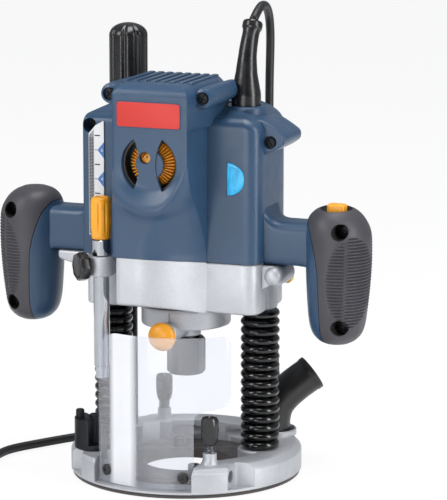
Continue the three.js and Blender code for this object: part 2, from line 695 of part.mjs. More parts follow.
const UPPER_SCREW = [35.5, 285.5];   // X and Z of the screws beside the crown
const LOWER_SCREW_RIGHT = [72, 251];
const LOWER_SCREW_LEFT = [-62, 258];
const upperScrews = [[-UPPER_SCREW[0], UPPER_SCREW[1]], UPPER_SCREW];
const SCREW_HEAD_RADIUS = 4.1;
const SCREW_SHANK_RADIUS = 1.9;
const screwSeats = {             // X, Z, then Y of the face under the head and Y of the tip
  housing_screw_upper_left: [...upperScrews[0], -53.5, -3],
  housing_screw_upper_right: [...upperScrews[1], -53.5, -3],
  housing_screw_lower_left: [...LOWER_SCREW_LEFT, -20, 4],
  housing_screw_lower_right: [...LOWER_SCREW_RIGHT, -15.5, 8],
};

function makeHousing() {
  const panelPlate = STATOR_TOP + GAP;
  const seatFloor = common(
    housingShape(HOUSING_WALL - 0.5),
    block(-90, 90, -42, 90, panelPlate, panelPlate + 3),
  );
  const towers = bothSides.map(([, sign]) => drum(10.5, CASTING_TOP, springTop + 4, sign * columnX, 0));
  const rodPillar = drum(11, CASTING_TOP, HEIGHT_KNOB_BOTTOM - GAP, HEIGHT_ROD_X, HEIGHT_ROD_Y);
  const bearingSeat = drum(UPPER_BEARING_RADIUS + 3.5, UPPER_BEARING_BOTTOM - 2, CROWN_TOP - 2, 0, 0);
  const standoffs = [[-22, 220], [22, 220], [-22, 257], [22, 257]].map(([x, z]) => (
    drumY(2.6, DIAL_BOX_FRONT + 1, -57, x, z, 10)
  ));
  const screwTubes = [
    drumY(6.5, HOUSING_FRONT + 1, 0, ...LOWER_SCREW_LEFT, 16),
  ];
  const inside = common(
    housingShape(0.5),
    union(...towers, rodPillar, bearingSeat, ...standoffs, ...screwTubes),
  );
  const ears = union(
    ...upperScrews.map(([x, z]) => drumY(6.3, -57, -1, x, z, 18)),
    drumY(7.5, -19, 14, ...LOWER_SCREW_RIGHT, 18),
    block(60, LOWER_SCREW_RIGHT[0], -19, 14, LOWER_SCREW_RIGHT[1] - 7.5, LOWER_SCREW_RIGHT[1] + 7.5),
    drum(15.2, RELIEF_SEAT - 3.5, RELIEF_SEAT + 7.5, RELIEF_X, RELIEF_Y),
    drum(11, CASTING_TOP + GAP, HEIGHT_KNOB_BOTTOM - GAP, HEIGHT_ROD_X, HEIGHT_ROD_Y),
  );
  const shell = union(cut(housingShape(0), housingShape(HOUSING_WALL)), seatFloor, inside, ears);
  const dialBridge = block(-8, 8, DIAL_BOX_FRONT - 1, DIAL_BOX_FRONT + 6, 200, 270);
  const dialWindows = cut(
    drumY(DIAL_OPENING_RADIUS, DIAL_BOX_FRONT - 1, DIAL_BOX_FRONT + 5, 0, DIAL_Z, 28),
    dialBridge,
  );
  const screwBores = Object.values(screwSeats).flatMap(([x, z, face, tip]) => [
    drumY(SCREW_HEAD_RADIUS + GAP, face - 13, face + GAP, x, z, 14),
    drumY(SCREW_SHANK_RADIUS + GAP, face, tip + GAP, x, z, 10),
  ]);
  return cut(
    shell,
    ...bothSides.map(([, sign]) => drum(COLUMN_RADIUS + 0.5, 0, springTop + GAP, sign * columnX, 0)),
    drum(HEIGHT_ROD_RADIUS + GAP, 0, HEIGHT_KNOB_BOTTOM + 1, HEIGHT_ROD_X, HEIGHT_ROD_Y, 20),
    drum(HEIGHT_KNOB_RADIUS + 1, HEIGHT_KNOB_BOTTOM - GAP, CROWN_TOP, HEIGHT_ROD_X, HEIGHT_ROD_Y),
    drum(33, STATOR_TOP, STATOR_TOP + 5, 0, 0, 32),
    drum(UPPER_BEARING_RADIUS + GAP, 200, UPPER_BEARING_BOTTOM + UPPER_BEARING_HEIGHT + GAP, 0, 0),
    drum(SHAFT_TIP_RADIUS + 1, 200, SHAFT_TOP + 1, 0, 0, 16),
    drum(RELIEF_RADIUS + GAP, RELIEF_SEAT - GAP, 300, RELIEF_X, RELIEF_Y),
    drum(4, 245, RELIEF_SEAT, RELIEF_X, RELIEF_Y, 12),
    slabXZ(lensOutline(GAP), HOUSING_FRONT - 1, HOUSING_FRONT + 5),
    drumY(4, DIAL_BOX_FRONT - 1, DIAL_BOX_FRONT + 5, -3.7, DIAL_Z + 6, 14),
    dialWindows,
    ...screwBores,
    ...[-21, -14, -7, 0, 7, 14, 21].map((x) => block(x - 1.2, x + 1.2, -40, -4, 285, CROWN_TOP + 1)),
  );
}

// D-shaped lens with its flat edge on the left.
function lensOutline(clearance) {
  const flat = 44.6 - clearance;
  const radius = 11.8 + clearance;
  const corners = [];
  for (let i = 0; i <= 12; i += 1) {
    const angle = -Math.PI / 2 + (Math.PI * i) / 12;
    corners.push([flat + 1.1 * radius * Math.cos(angle), 225 + radius * Math.sin(angle)]);
  }
  return corners;
}

const housing = makeHousing();
add('housing_front', common(housing, block(-120, 120, -120, HOUSING_SEAM - GAP / 2, 100, 360)), 'blue');
add('housing_rear', common(housing, block(-120, 120, HOUSING_SEAM + GAP / 2, 120, 100, 360)), 'blue');

// Round-head screw along Y with a cross recess in its head.
function screwAlongY(x, z, face, tip) {
  return cut(
    union(drumY(SCREW_HEAD_RADIUS, face - 2.6, face, x, z, 12),
      drumY(SCREW_SHANK_RADIUS, face - 1, tip, x, z, 8)),
    block(x - 2.4, x + 2.4, face - 3, face - 1.4, z - 0.5, z + 0.5),
    block(x - 0.5, x + 0.5, face - 3, face - 1.4, z - 2.4, z + 2.4),
  );
}
Object.entries(screwSeats).forEach(([name, seat]) => add(name, screwAlongY(...seat), 'black'));

// ---------------------------------------------------------------- handles and rubber grips
const GRIP_LEVELS = [            // height, half width along X, half depth along Y, shift outwards
  [GRIP_BOTTOM, 9, 10, 0],
  [GRIP_BOTTOM + 2.5, 13.5, 15, 0],
  [GRIP_BOTTOM + 8, 18, 20, 0],
  [GRIP_BOTTOM + 18, 20.5, 23, 0],
  [GRIP_BOTTOM + 40, 22.6, 25, 0.5],
  [GRIP_BOTTOM + 62, 23.6, 25.5, 0.8],
  [GRIP_BOTTOM + 80, 24, 25, 0.5],
  [GRIP_BOTTOM + 90, 21.5, 22, -0.5],
  [GRIP_BOTTOM + 96, 16.5, 17, -1],
  [GRIP_TOP, 9, 9, -1],
];

function gripShape(sign, inset) {
  const rings = GRIP_LEVELS.map(([z, halfX, halfY, shift]) => {
    const height = THREE.MathUtils.clamp(z, GRIP_BOTTOM + inset, GRIP_TOP - inset);
    return levelRing(sign * (HANDLE_X + shift), HANDLE_Y, height, halfX - inset, halfY - inset, 20);
  });
  return loft(rings);
}

// Outer side of the parting face between the blue handle and its rubber grip.
function rubberSide(sign, offset) {
  const edge = [[118, 90], [118, 130], [118.5, 160], [113, 180], [100, 196.5], [88, 199.5]];
  const corners = edge.map(([x, z]) => [sign * (x + offset), z + offset]);
  corners.push([sign * 88, 230], [sign * 170, 230], [sign * 170, 90]);
  return slabXZ(sign > 0 ? corners.reverse() : corners, HANDLE_Y - 60, HANDLE_Y + 60);
}

const gripScrews = [['upper', 128, 191], ['lower', 127.5, 121.5]];
const GRIP_SCREW_SEAT = -14;

function handleCavity(sign) {
  return block(
    Math.min(sign * 103, sign * 132), Math.max(sign * 103, sign * 132),
    HANDLE_Y - 9, HANDLE_Y + 15, 128, 186,
  );
}

bothSides.forEach(([side, sign]) => {
  const armRoot = HOUSING_HALF_WIDTH + GAP;
  const arm = slabYZ([
    [HANDLE_Y - ARM_HALF_DEPTH, ARM_BOTTOM, 6],
    [HANDLE_Y + ARM_HALF_DEPTH, ARM_BOTTOM, 6],
    [HANDLE_Y + ARM_HALF_DEPTH, ARM_TOP, 6],
    [HANDLE_Y - ARM_HALF_DEPTH, ARM_TOP, 6],
  ], Math.min(sign * armRoot, sign * 108), Math.max(sign * armRoot, sign * 108));
  const screwTools = gripScrews.flatMap(([, x, z]) => [
    drumY(5.4, -60, GRIP_SCREW_SEAT + GAP, sign * x, z, 16),
    drumY(SCREW_SHANK_RADIUS + GAP, GRIP_SCREW_SEAT, 7, sign * x, z, 10),
  ]);
  const tools = [...screwTools, handleCavity(sign)];
  if (sign > 0) {
    tools.push(lockButtonSlot(), triggerSlot());
  }
  const armBore = block(
    Math.min(sign * 60, sign * 110), Math.max(sign * 60, sign * 110),
    HANDLE_Y - 5, HANDLE_Y + 5, 172, 184,
  );
  add(`handle_${side}`, cut(
    union(arm, cut(gripShape(sign, 0), rubberSide(sign, 0))),
    ...tools, armBore, rubberSide(sign, 0),
  ), 'blue');
  add(`grip_${side}`, cut(
    common(gripShape(sign, 0), rubberSide(sign, GAP)),
    ...tools,
  ), 'rubber');
  gripScrews.forEach(([level, x, z]) => {
    add(`grip_screw_${side}_${level}`, screwAlongY(sign * x, z, GRIP_SCREW_SEAT, 6), 'black');
  });
});

// ---------------------------------------------------------------- switch, trigger and lock button
function lockButtonSlot() {
  return block(LOCK_X - 6.8 - GAP, LOCK_X + 6.8 + GAP, HANDLE_Y - 5 - GAP, HANDLE_Y + 5 + GAP, 180, 220);
}

function triggerSlot() {
  return block(TRIGGER_X - TRIGGER_HALF_WIDTH - GAP, TRIGGER_X + TRIGGER_HALF_WIDTH + GAP,
    HANDLE_Y + 10, HANDLE_Y + 40, TRIGGER_BOTTOM - GAP, TRIGGER_TOP + GAP);
}

add('switch_block', union(
  block(104, 131, HANDLE_Y - 8.7, HANDLE_Y + 8, 140, 176),
  drum(2, 175, 186, LOCK_X, HANDLE_Y, 10),
), 'black');
add('lock_button', union(
  slab([[LOCK_X - 6.8, HANDLE_Y - 5, 2], [LOCK_X + 6.8, HANDLE_Y - 5, 2], [LOCK_X + 6.8, HANDLE_Y + 5, 2],
    [LOCK_X - 6.8, HANDLE_Y + 5, 2]], 190, GRIP_TOP + 4),
), 'orange');
add('trigger', slabXZ([
  [TRIGGER_X - TRIGGER_HALF_WIDTH, TRIGGER_BOTTOM, 2], [TRIGGER_X + TRIGGER_HALF_WIDTH, TRIGGER_BOTTOM, 2],
  [TRIGGER_X + TRIGGER_HALF_WIDTH, TRIGGER_TOP, 2], [TRIGGER_X - TRIGGER_HALF_WIDTH, TRIGGER_TOP, 2],
], HANDLE_Y + 14, TRIGGER_REAR), 'black');

// ---------------------------------------------------------------- motor
add('stator', union(
  ring(STATOR_BORE_RADIUS, STATOR_RADIUS, STATOR_BOTTOM, STATOR_TOP, 0, 0, 28),
), 'steel');
add('armature', union(
  drum(SHAFT_RADIUS, COLLAR_BOTTOM - 10, STATOR_BOTTOM, 0, 0, 20),
  drum(SHAFT_TIP_RADIUS, STATOR_BOTTOM - 1, SHAFT_TOP, 0, 0, 16),
  drum(CORE_RADIUS, STATOR_BOTTOM + 2, STATOR_TOP - 2, 0, 0, 28),
  drum(COMMUTATOR_RADIUS, COMMUTATOR_BOTTOM, COMMUTATOR_TOP, 0, 0, 24),
), 'copper');

function makeFan() {
  const hub = ring(SHAFT_RADIUS + GAP, 12, FAN_BOTTOM, FAN_BOTTOM + FAN_HEIGHT, 0, 0, 20);
  const floor = ring(SHAFT_RADIUS + GAP, FAN_RADIUS, FAN_BOTTOM + FAN_HEIGHT - 2, FAN_BOTTOM + FAN_HEIGHT);
  const blade = new THREE.BoxGeometry(24, 1.6, FAN_HEIGHT - 1);
  blade.translate(21.5, 0, FAN_BOTTOM + (FAN_HEIGHT - 1) / 2);
  const blades = Array.from({ length: 9 }, (_, i) => (
    solid(blade.clone().rotateZ((2 * Math.PI * i) / 9))
  ));
  return union(hub, floor, ...blades);
}
add('cooling_fan', makeFan(), 'black');

add('bearing_lower', ring(SHAFT_RADIUS + GAP, LOWER_BEARING_RADIUS, LOWER_BEARING_BOTTOM + GAP,
  LOWER_BEARING_BOTTOM + LOWER_BEARING_HEIGHT), 'steel');
add('bearing_upper', ring(SHAFT_TIP_RADIUS + GAP, UPPER_BEARING_RADIUS, UPPER_BEARING_BOTTOM,
  UPPER_BEARING_BOTTOM + UPPER_BEARING_HEIGHT), 'steel');

bothSides.forEach(([side, sign]) => {
  const span = (from, to, ...rest) => block(Math.min(sign * from, sign * to),
    Math.max(sign * from, sign * to), ...rest);
  const foot = STATOR_TOP + GAP + 3 + GAP;
  add(`brush_holder_${side}`, cut(
    span(16, 36, -5.5, 5.5, foot, COMMUTATOR_TOP - 1),
    span(10, 40, -3 - GAP, 3 + GAP, COMMUTATOR_BOTTOM + 2 - GAP, COMMUTATOR_TOP - 4 + GAP),
  ), 'board');
  add(`carbon_brush_${side}`, span(COMMUTATOR_RADIUS + GAP, 31, -3, 3,
    COMMUTATOR_BOTTOM + 2, COMMUTATOR_TOP - 4), 'black');
});

// ---------------------------------------------------------------- collet
add('collet', cut(
  turned([[0, COLLET_NUT_BOTTOM + 1.5], [8.6, COLLET_NUT_BOTTOM + 1.5], [9.6, COLLET_NUT_BOTTOM + 6],
    [9.6, COLLAR_BOTTOM - 10 - GAP], [0, COLLAR_BOTTOM - 10 - GAP]], 20),
  drum(CUTTER_BORE_RADIUS, COLLET_NUT_BOTTOM - 1, COLLAR_BOTTOM, 0, 0, 20),
), 'steel');

function makeColletNut() {
  const sides = 6;
  const hexagon = Array.from({ length: sides }, (_, i) => {
    const angle = (2 * Math.PI * (i + 0.5)) / sides;
    return [COLLET_NUT_RADIUS * Math.cos(angle), COLLET_NUT_RADIUS * Math.sin(angle), 1];
  });
  return cut(
    slab(hexagon, COLLET_NUT_BOTTOM, COLLET_NUT_TOP),
    drum(9.6 + GAP, COLLET_NUT_BOTTOM + 6, COLLET_NUT_TOP + 1),
    turned([[0, COLLET_NUT_BOTTOM - 1], [8.4, COLLET_NUT_BOTTOM - 1], [9.9, COLLET_NUT_BOTTOM + 6.1],
      [0, COLLET_NUT_BOTTOM + 6.1]], 20),
  );
}
add('collet_nut', makeColletNut(), 'steel');

// ---------------------------------------------------------------- spindle lock
add('spindle_lock_button', union(
  drumY(3.8, -44, -SHAFT_RADIUS - 5, 0, LOCK_BUTTON_Z, 16),
  turnedY([[0, -52], [5.5, -51.4], [9, -49.6], [LOCK_BUTTON_RADIUS, -47], [LOCK_BUTTON_RADIUS - 1, -44.5],
    [7, -43.6], [0, -43.4]], 0, LOCK_BUTTON_Z, 24),
), 'orange');

// Solid of revolution about an axis along Y; the profile is [radius, y] pairs going back.
function turnedY(profile, x, z, sides) {
  const points = profile.map(([radius, y]) => new THREE.Vector2(radius, y));
  const geometry = new THREE.LatheGeometry(points, sides);
  geometry.translate(x, 0, z);
  return solid(geometry);
}

// ---------------------------------------------------------------- plunge lock lever
add('plunge_lock_lever', union(
  drumY(3, 32, 42, LEVER_X, LEVER_Z, 14),
  drumY(7, CASTING_REAR + GAP, CASTING_REAR + 9, LEVER_X, LEVER_Z, 20),
  slabXZ([[LEVER_X - 2, LEVER_Z - 5], [LEVER_X + 20, LEVER_Z - 14, 3], [LEVER_X + 23, LEVER_Z - 8, 3],
    [LEVER_X + 2, LEVER_Z + 6]], CASTING_REAR + 2, CASTING_REAR + 8),
), 'orange');

// ---------------------------------------------------------------- speed dial
const DIAL_FACE = DIAL_BOX_FRONT + HOUSING_WALL + 1;
add('speed_dial', union(
  drumY(DIAL_RADIUS, DIAL_FACE, DIAL_FACE + 7, 0, DIAL_Z, 32),
  drumY(3, DIAL_FACE + 6, DIAL_FACE + 15, 0, DIAL_Z, 14),
), 'orange');
add('speed_board', union(
  cut(
    block(-25, 25, -57 + GAP, -55, 215, 262),
    drumY(3 + GAP, -60, -50, 0, DIAL_Z, 14),
  ),
  cut(drumY(8, -56, -46, 0, DIAL_Z, 20), drumY(3 + GAP, -60, -50, 0, DIAL_Z, 14)),
), 'board');

// ---------------------------------------------------------------- lens, scale and badge
add('power_lens', slabXZ(lensOutline(0), HOUSING_FRONT - 0.6, HOUSING_FRONT + HOUSING_WALL), 'cyan');
add('depth_scale', slabXZ([[-62.4, 178], [-50.5, 178], [-50.5, 261], [-57, 257], [-62.4, 250]],
  HOUSING_FRONT - GAP - 0.8, HOUSING_FRONT - GAP), 'white');
add('badge_plate', slabXZ([[-24.2, 264.8, 2.5], [24.2, 264.8, 2.5], [24.2, 282.8, 2.5], [-24.2, 282.8, 2.5]],
  DIAL_BOX_FRONT - GAP - 0.8, DIAL_BOX_FRONT - GAP), 'red');

// ---------------------------------------------------------------- depth stop
add('depth_rod', union(
  drum(ROD_RADIUS, ROD_TIP + 9, ROD_BOSS_TOP, ROD_X, ROD_Y, 24),
  drum(4.6, ROD_TIP, ROD_TIP + 10, ROD_X, ROD_Y, 20),
  drum(7, ROD_BOSS_TOP + GAP, ROD_TOP, ROD_X, ROD_Y, 24),
  drum(ROD_RADIUS, ROD_BOSS_TOP - 1, ROD_BOSS_TOP + 1, ROD_X, ROD_Y, 24),
  drum(3, ROD_TOP - 1, ROD_TOP + 18, ROD_X, ROD_Y, 12),
), 'chrome');
add('depth_fine_knob', cut(
  fluted(ROD_X, ROD_Y, FINE_KNOB_RADIUS, ROD_TOP + GAP, FINE_KNOB_TOP, 9, 0.1, 3),
  drum(3 + GAP, ROD_TOP - 1, ROD_TOP + 18 + GAP, ROD_X, ROD_Y, 12),
), 'orange');

function makeClampKnob() {
  const flats = 8;
  const face = ROD_BOSS_RADIUS + 2 * GAP;
  return union(
    alongClamp(CLAMP_KNOB_RADIUS, face, face + CLAMP_KNOB_DEPTH, flats),
    alongClamp(CLAMP_SHANK_RADIUS, ROD_RADIUS + GAP, face + 2, 12),
  );
}
add('depth_clamp_knob', makeClampKnob(), 'black');

// ---------------------------------------------------------------- mains lead
const reliefRoute = new THREE.CatmullRomCurve3([
  new THREE.Vector3(RELIEF_X, RELIEF_Y, RELIEF_SEAT),
  new THREE.Vector3(RELIEF_X, RELIEF_Y, RELIEF_SEAT + 16),
  new THREE.Vector3(RELIEF_X, RELIEF_Y + 0.6, RELIEF_SEAT + 32),
  new THREE.Vector3(RELIEF_X + 0.2, RELIEF_Y + 3.6, RELIEF_SEAT + 48),
  new THREE.Vector3(RELIEF_X + 0.5, RELIEF_Y + 12.4, RELIEF_SEAT + 66.2),
]);
const RELIEF_TAPER = [10.8, 10.8, 10.6, 8.6, 7.2, 6.7, 6.3, 6.2, 7.4, 7.2];
add('strain_relief', tapered(reliefRoute, RELIEF_TAPER, 16), 'black');

const cordRoute = new THREE.CatmullRomCurve3([
  [45.5, 18, 333.5], [45, 27, 338.2], [44.2, 38, 341.6], [43, 50, 340], [41.6, 60, 333],
  [40.5, 66, 322], [39.8, 68.3, 308], [39, 69, 280], [38.5, 70, 240], [38, 72, 200], [38, 75, 150],
  [38, 80, 100], [38, 86, 60], [37, 92, 35], [33, 97, 17], [22, 101, 6.5], [5, 103, 3.6],
  [-20, 103, 3.4], [-50, 96, 3.4], [-80, 78, 3.4], [-105, 50, 3.4], [-125, 20, 3.4],
  [-140, -8, 3.4], [-141.1, -38, 3.4],
].map((point) => new THREE.Vector3(...point)));
const CORD_STEPS = 52;

function makeCord() {
  const radii = Array(CORD_STEPS + 1).fill(CORD_RADIUS);
  const body = tapered(cordRoute, radii, 8);
  return cut(body, tapered(reliefEnd(), [8, 8, 8], 12));
}

// Short bar over the end of the strain relief, longer than it by the seating gap.
function reliefEnd() {
  const end = reliefRoute.getPointAt(1);
  const ahead = reliefRoute.getTangentAt(1);
  return new THREE.LineCurve3(
    end.clone().addScaledVector(ahead, -12),
    end.clone().addScaledVector(ahead, GAP),
  );
}
add('cord', makeCord(), 'black');

const COIL_X = -188;
const COIL_Y = -54;
const COIL_OUTER_RADIUS = 46;
const COIL_INNER_RADIUS = 26.3;
const COIL_HEIGHT = 13;
const FLOOR_GAP = 0.15;
add('cord_coil', turned([
  [COIL_INNER_RADIUS, FLOOR_GAP + 2],
  [COIL_INNER_RADIUS + 2, FLOOR_GAP],
  [COIL_OUTER_RADIUS - 2, FLOOR_GAP],
  [COIL_OUTER_RADIUS, FLOOR_GAP + 2],
  [COIL_OUTER_RADIUS, FLOOR_GAP + COIL_HEIGHT - 2],
  [COIL_OUTER_RADIUS - 2, FLOOR_GAP + COIL_HEIGHT],
  [COIL_INNER_RADIUS + 2, FLOOR_GAP + COIL_HEIGHT],
  [COIL_INNER_RADIUS, FLOOR_GAP + COIL_HEIGHT - 2],
  [COIL_INNER_RADIUS, FLOOR_GAP + 2],
], 28, COIL_X, COIL_Y), 'black');

const PLUG_PIN_SPACING = 19;
const PLUG_THICKNESS = 18;
function makePlug() {
  const neck = COIL_X - COIL_OUTER_RADIUS - GAP;
  const pins = [-1, 1].map((sign) => (
    drumX(2.4, neck - 57, neck - 36, COIL_Y + sign * PLUG_PIN_SPACING / 2, PLUG_THICKNESS / 2, 12)
  ));
  return union(
    slab([[neck, COIL_Y - 4], [neck, COIL_Y + 4], [neck - 6, COIL_Y + 5, 3], [neck - 16, COIL_Y + 14, 4],
      [neck - 38, COIL_Y + 14, 4], [neck - 38, COIL_Y - 14, 4], [neck - 16, COIL_Y - 14, 4],
      [neck - 6, COIL_Y - 5, 3]], FLOOR_GAP, PLUG_THICKNESS),
    ...pins,
  );
}
add('plug', makePlug(), 'black');

export default router;
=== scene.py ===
"""Looks of the plunge router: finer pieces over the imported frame, their materials, the stage and the camera.

Shapes are written in millimetres in the frame's own axes and become metres as each mesh is made.
"""

import math

import bmesh
import bpy
from mathutils import Matrix, Vector


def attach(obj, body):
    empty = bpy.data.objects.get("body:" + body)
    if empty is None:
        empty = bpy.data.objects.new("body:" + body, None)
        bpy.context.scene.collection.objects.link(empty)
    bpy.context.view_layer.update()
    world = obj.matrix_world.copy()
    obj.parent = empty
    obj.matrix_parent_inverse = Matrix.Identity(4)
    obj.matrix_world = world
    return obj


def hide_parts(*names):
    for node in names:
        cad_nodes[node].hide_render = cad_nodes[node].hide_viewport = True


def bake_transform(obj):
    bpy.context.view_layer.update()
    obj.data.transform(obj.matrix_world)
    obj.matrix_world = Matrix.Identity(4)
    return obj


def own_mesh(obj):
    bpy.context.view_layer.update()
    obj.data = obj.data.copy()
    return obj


MM = 0.001
REARWARD = (0, 1, 0)

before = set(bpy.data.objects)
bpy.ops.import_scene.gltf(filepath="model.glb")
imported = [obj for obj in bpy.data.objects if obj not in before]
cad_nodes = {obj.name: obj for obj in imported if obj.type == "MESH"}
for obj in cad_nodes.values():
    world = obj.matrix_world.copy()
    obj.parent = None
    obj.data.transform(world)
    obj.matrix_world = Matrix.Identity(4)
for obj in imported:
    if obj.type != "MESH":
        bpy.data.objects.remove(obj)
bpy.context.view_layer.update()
scene = bpy.context.scene
SIDES = (("left", -1), ("right", 1))


# ------------------------------------------------------------------ meshes
def in_metres(point):
    return tuple(c * MM for c in point)


def shown(name, data):
    """A new object in the scene that holds a mesh, curve, light or camera."""
    thing = bpy.data.objects.new(name, data)
    scene.collection.objects.link(thing)
    return thing


def piece_from(name, points, faces):
    """A closed mesh object from points in millimetres, with doubles merged and faces turned outward."""
    mesh = bpy.data.meshes.new(name)
    mesh.from_pydata([in_metres(point) for point in points], [], faces)
    form = bmesh.new()
    form.from_mesh(mesh)
    bmesh.ops.remove_doubles(form, verts=form.verts, dist=0.002 * MM)
    bmesh.ops.recalc_face_normals(form, faces=form.faces)
    form.to_mesh(mesh)
    form.free()
    return shown(name, mesh)


def skin(name, rings, looped=False):
    """Skin over a stack of rings of equal count, capped, or looped back to its first ring."""
    count = len(rings[0])
    faces = []
    for level in range(len(rings) if looped else len(rings) - 1):
        low = level * count
        high = (level + 1) % len(rings) * count
        for i in range(count):
            j = (i + 1) % count
            faces.append((low + i, low + j, high + j, high + i))
    points = [point for ring in rings for point in ring]
    if not looped:
        faces.append(tuple(reversed(range(count))))
        faces.append(tuple(range(len(points) - count, len(points))))
    return piece_from(name, points, faces)


def live_copy(piece):
    """The piece's mesh with its modifiers worked in."""
    bpy.context.view_layer.update()
    graph = bpy.context.evaluated_depsgraph_get()
    return bpy.data.meshes.new_from_object(piece.evaluated_get(graph), depsgraph=graph)


def settle(piece):
    mesh = live_copy(piece)
    piece.modifiers.clear()
    piece.data = mesh
    return piece


def combine(piece, operation, tools):
    for tool in tools:
        step = piece.modifiers.new(operation, "BOOLEAN")
        step.operation = operation
        step.solver = "MANIFOLD"
        step.object = tool
    settle(piece)
    for tool in tools:
        bpy.data.objects.remove(tool)
    return piece


def bored(piece, *tools):
    return combine(piece, "DIFFERENCE", tools)


def merged(piece, *others):
    return combine(piece, "UNION", others)


def common(piece, *others):
    return combine(piece, "INTERSECT", others)


def softened(piece, width, segments=3, angle=35):
    """Rounds the piece's sharp edges; width in millimetres."""
    bevel = piece.modifiers.new("edges", "BEVEL")
    bevel.width = width * MM
    bevel.segments = segments
    bevel.limit_method = "ANGLE"
    bevel.angle_limit = math.radians(angle)
    bevel.use_clamp_overlap = True
    return settle(piece)


def gathered(name, pieces):
    """One object made of several, which keep their materials."""
    bpy.ops.object.select_all(action="DESELECT")
    for piece in pieces:
        piece.select_set(True)
    bpy.context.view_layer.objects.active = pieces[0]
    bpy.ops.object.join()
    pieces[0].name = name
    return pieces[0]


def painted(piece, material):
    piece.data.materials.clear()
    piece.data.materials.append(material)
    return piece


def fitted(piece, body, slot, *nodes, crease=32):
    """Shades the piece, hangs it under its body and hides the nodes that it stands for. The slot is not used.
    """
    piece.data.polygons.foreach_set("use_smooth", [True] * len(piece.data.polygons))
    piece.data.set_sharp_from_angle(angle=math.radians(crease))
    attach(piece, body)
    if nodes:
        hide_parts(*nodes)
    return piece


# ------------------------------------------------------------------ outlines and forms
def rounded(corners, steps=8):
    """Points of a closed outline; each corner is (x, y) or (x, y, radius)."""
    points = []
    for i, corner in enumerate(corners):
        here = Vector(corner[:2])
        radius = corner[2] if len(corner) > 2 else 0
        if not radius:
            points.append((here.x, here.y))
            continue
        entry = here + (Vector(corners[i - 1][:2]) - here).normalized() * radius
        leave = here + (Vector(corners[(i + 1) % len(corners)][:2]) - here).normalized() * radius
        for step in range(steps + 1):
            t = step / steps
            spot = entry * (1 - t) ** 2 + here * 2 * t * (1 - t) + leave * t * t
            points.append((spot.x, spot.y))
    return points


def oblong(x0, y0, x1, y1, radius=0):
    """Corners of a rectangle, each with the radius given."""
    return [(x0, y0, radius), (x1, y0, radius), (x1, y1, radius), (x0, y1, radius)]


def polar(radius, angle, centre=(0, 0)):
    return centre[0] + radius * math.cos(angle), centre[1] + radius * math.sin(angle)


PLANES = {
    "XY": lambda u, v, w: (u, v, w),
    "XZ": lambda u, v, w: (u, w, v),
    "YZ": lambda u, v, w: (w, u, v),
}


def slab(name, corners, low, high, plane="XY", edge=0.0, steps=8, segments=3):
    """Outline raised between two levels of the axis that its plane leaves out."""
    outline = rounded(corners, steps)
    place = PLANES[plane]
    rings = [[place(u, v, level) for u, v in outline] for level in (low, high)]
    piece = skin(name, rings)
    return softened(piece, edge, segments) if edge else piece


def cushion(name, corners, low, high, plane="XZ", edge=2.0, steps=6):
    """Outline raised between two levels, with rims that round over by the edge given."""
    outline = rounded(corners, steps)
    middle = sum((Vector(point) for point in outline), Vector((0, 0))) / len(outline)
    reach = min((Vector(point) - middle).length for point in outline)
    rings = []
    for level, side in ((low, 1), (high, -1)):
        arc = []
        for step in range(-1, 7):
            angle = math.pi / 2 * max(0, step) / 6
            shrink = 1 - edge * (1 - math.sin(angle) + (0.2 if step < 0 else 0)) / reach
            height = level + side * edge * (1 - math.cos(angle))
            arc.append([PLANES[plane](middle.x + (u - middle.x) * shrink,
                                      middle.y + (v - middle.y) * shrink, height) for u, v in outline])
        rings += arc if side > 0 else arc[::-1]
    return skin(name, rings)


def block(name, low, high, edge=0.0):
    (x0, y0, z0), (x1, y1, z1) = low, high
    return slab(name, oblong(x0, y0, x1, y1), z0, z1, edge=edge)


def turned(name, profile, at=(0, 0, 0), along=(0, 0, 1), count=48, looped=False, wave=None):
    """Turned form; the profile is (radius, height along the axis), and wave scales the radius by angle."""
    turn = Vector((0, 0, 1)).rotation_difference(Vector(along)).to_matrix()
    rings = []
    for radius, height in profile:
        ring = []
        for i in range(count):
            angle = 2 * math.pi * i / count
            reach = radius * (wave(angle, height) if wave else 1)
            ring.append(tuple(turn @ Vector((*polar(reach, angle), height)) + Vector(at)))
        rings.append(ring)
    return skin(name, rings, looped)


def rod(name, radius, low, high, at=(0, 0, 0), along=(0, 0, 1), edge=0.4, count=48):
    """Round bar with its two rims broken."""
    profile = [(radius - edge, low), (radius, low + edge), (radius, high - edge), (radius - edge, high)]
    return turned(name, profile, at, along, count)


def drill(radius, low, high, at=(0, 0, 0), along=(0, 0, 1), count=48):
    """Tool for a round hole, or a core that a hole is cut round."""
    return rod("drill", radius, low, high, at, along, edge=0.01, count=count)


def tube(name, inner, outer, low, high, at=(0, 0, 0), edge=0.4, count=48):
    profile = [(inner + edge, low), (outer - edge, low), (outer, low + edge), (outer, high - edge),
               (outer - edge, high), (inner + edge, high), (inner, high - edge), (inner, low + edge)]
    return turned(name, profile, at, count=count, looped=True)


def flowing(points, spacing):
    """Points at even spacing along a smooth curve through the given ones."""
    knots = [Vector(p) for p in points]
    knots = [knots[0] * 2 - knots[1]] + knots + [knots[-1] * 2 - knots[-2]]
    fine = []
    for i in range(1, len(knots) - 2):
        a, b, c, d = knots[i - 1:i + 3]
        for step in range(24):
            t = step / 24
            fine.append(0.5 * (2 * b + (c - a) * t + (2 * a - 5 * b + 4 * c - d) * t * t
                               + (3 * b - a - 3 * c + d) * t ** 3))
    fine.append(knots[-2])
    lengths = [0.0]
    for p, q in zip(fine, fine[1:]):
        lengths.append(lengths[-1] + (q - p).length)
    count = max(2, round(lengths[-1] / spacing))
    route, at = [], 0
    for i in range(count + 1):
        wanted = lengths[-1] * i / count
        while at < len(fine) - 2 and lengths[at + 1] < wanted:
            at += 1
        share = (wanted - lengths[at]) / max(lengths[at + 1] - lengths[at], 1e-9)
        route.append(fine[at].lerp(fine[at + 1], min(1.0, share)))
    return route


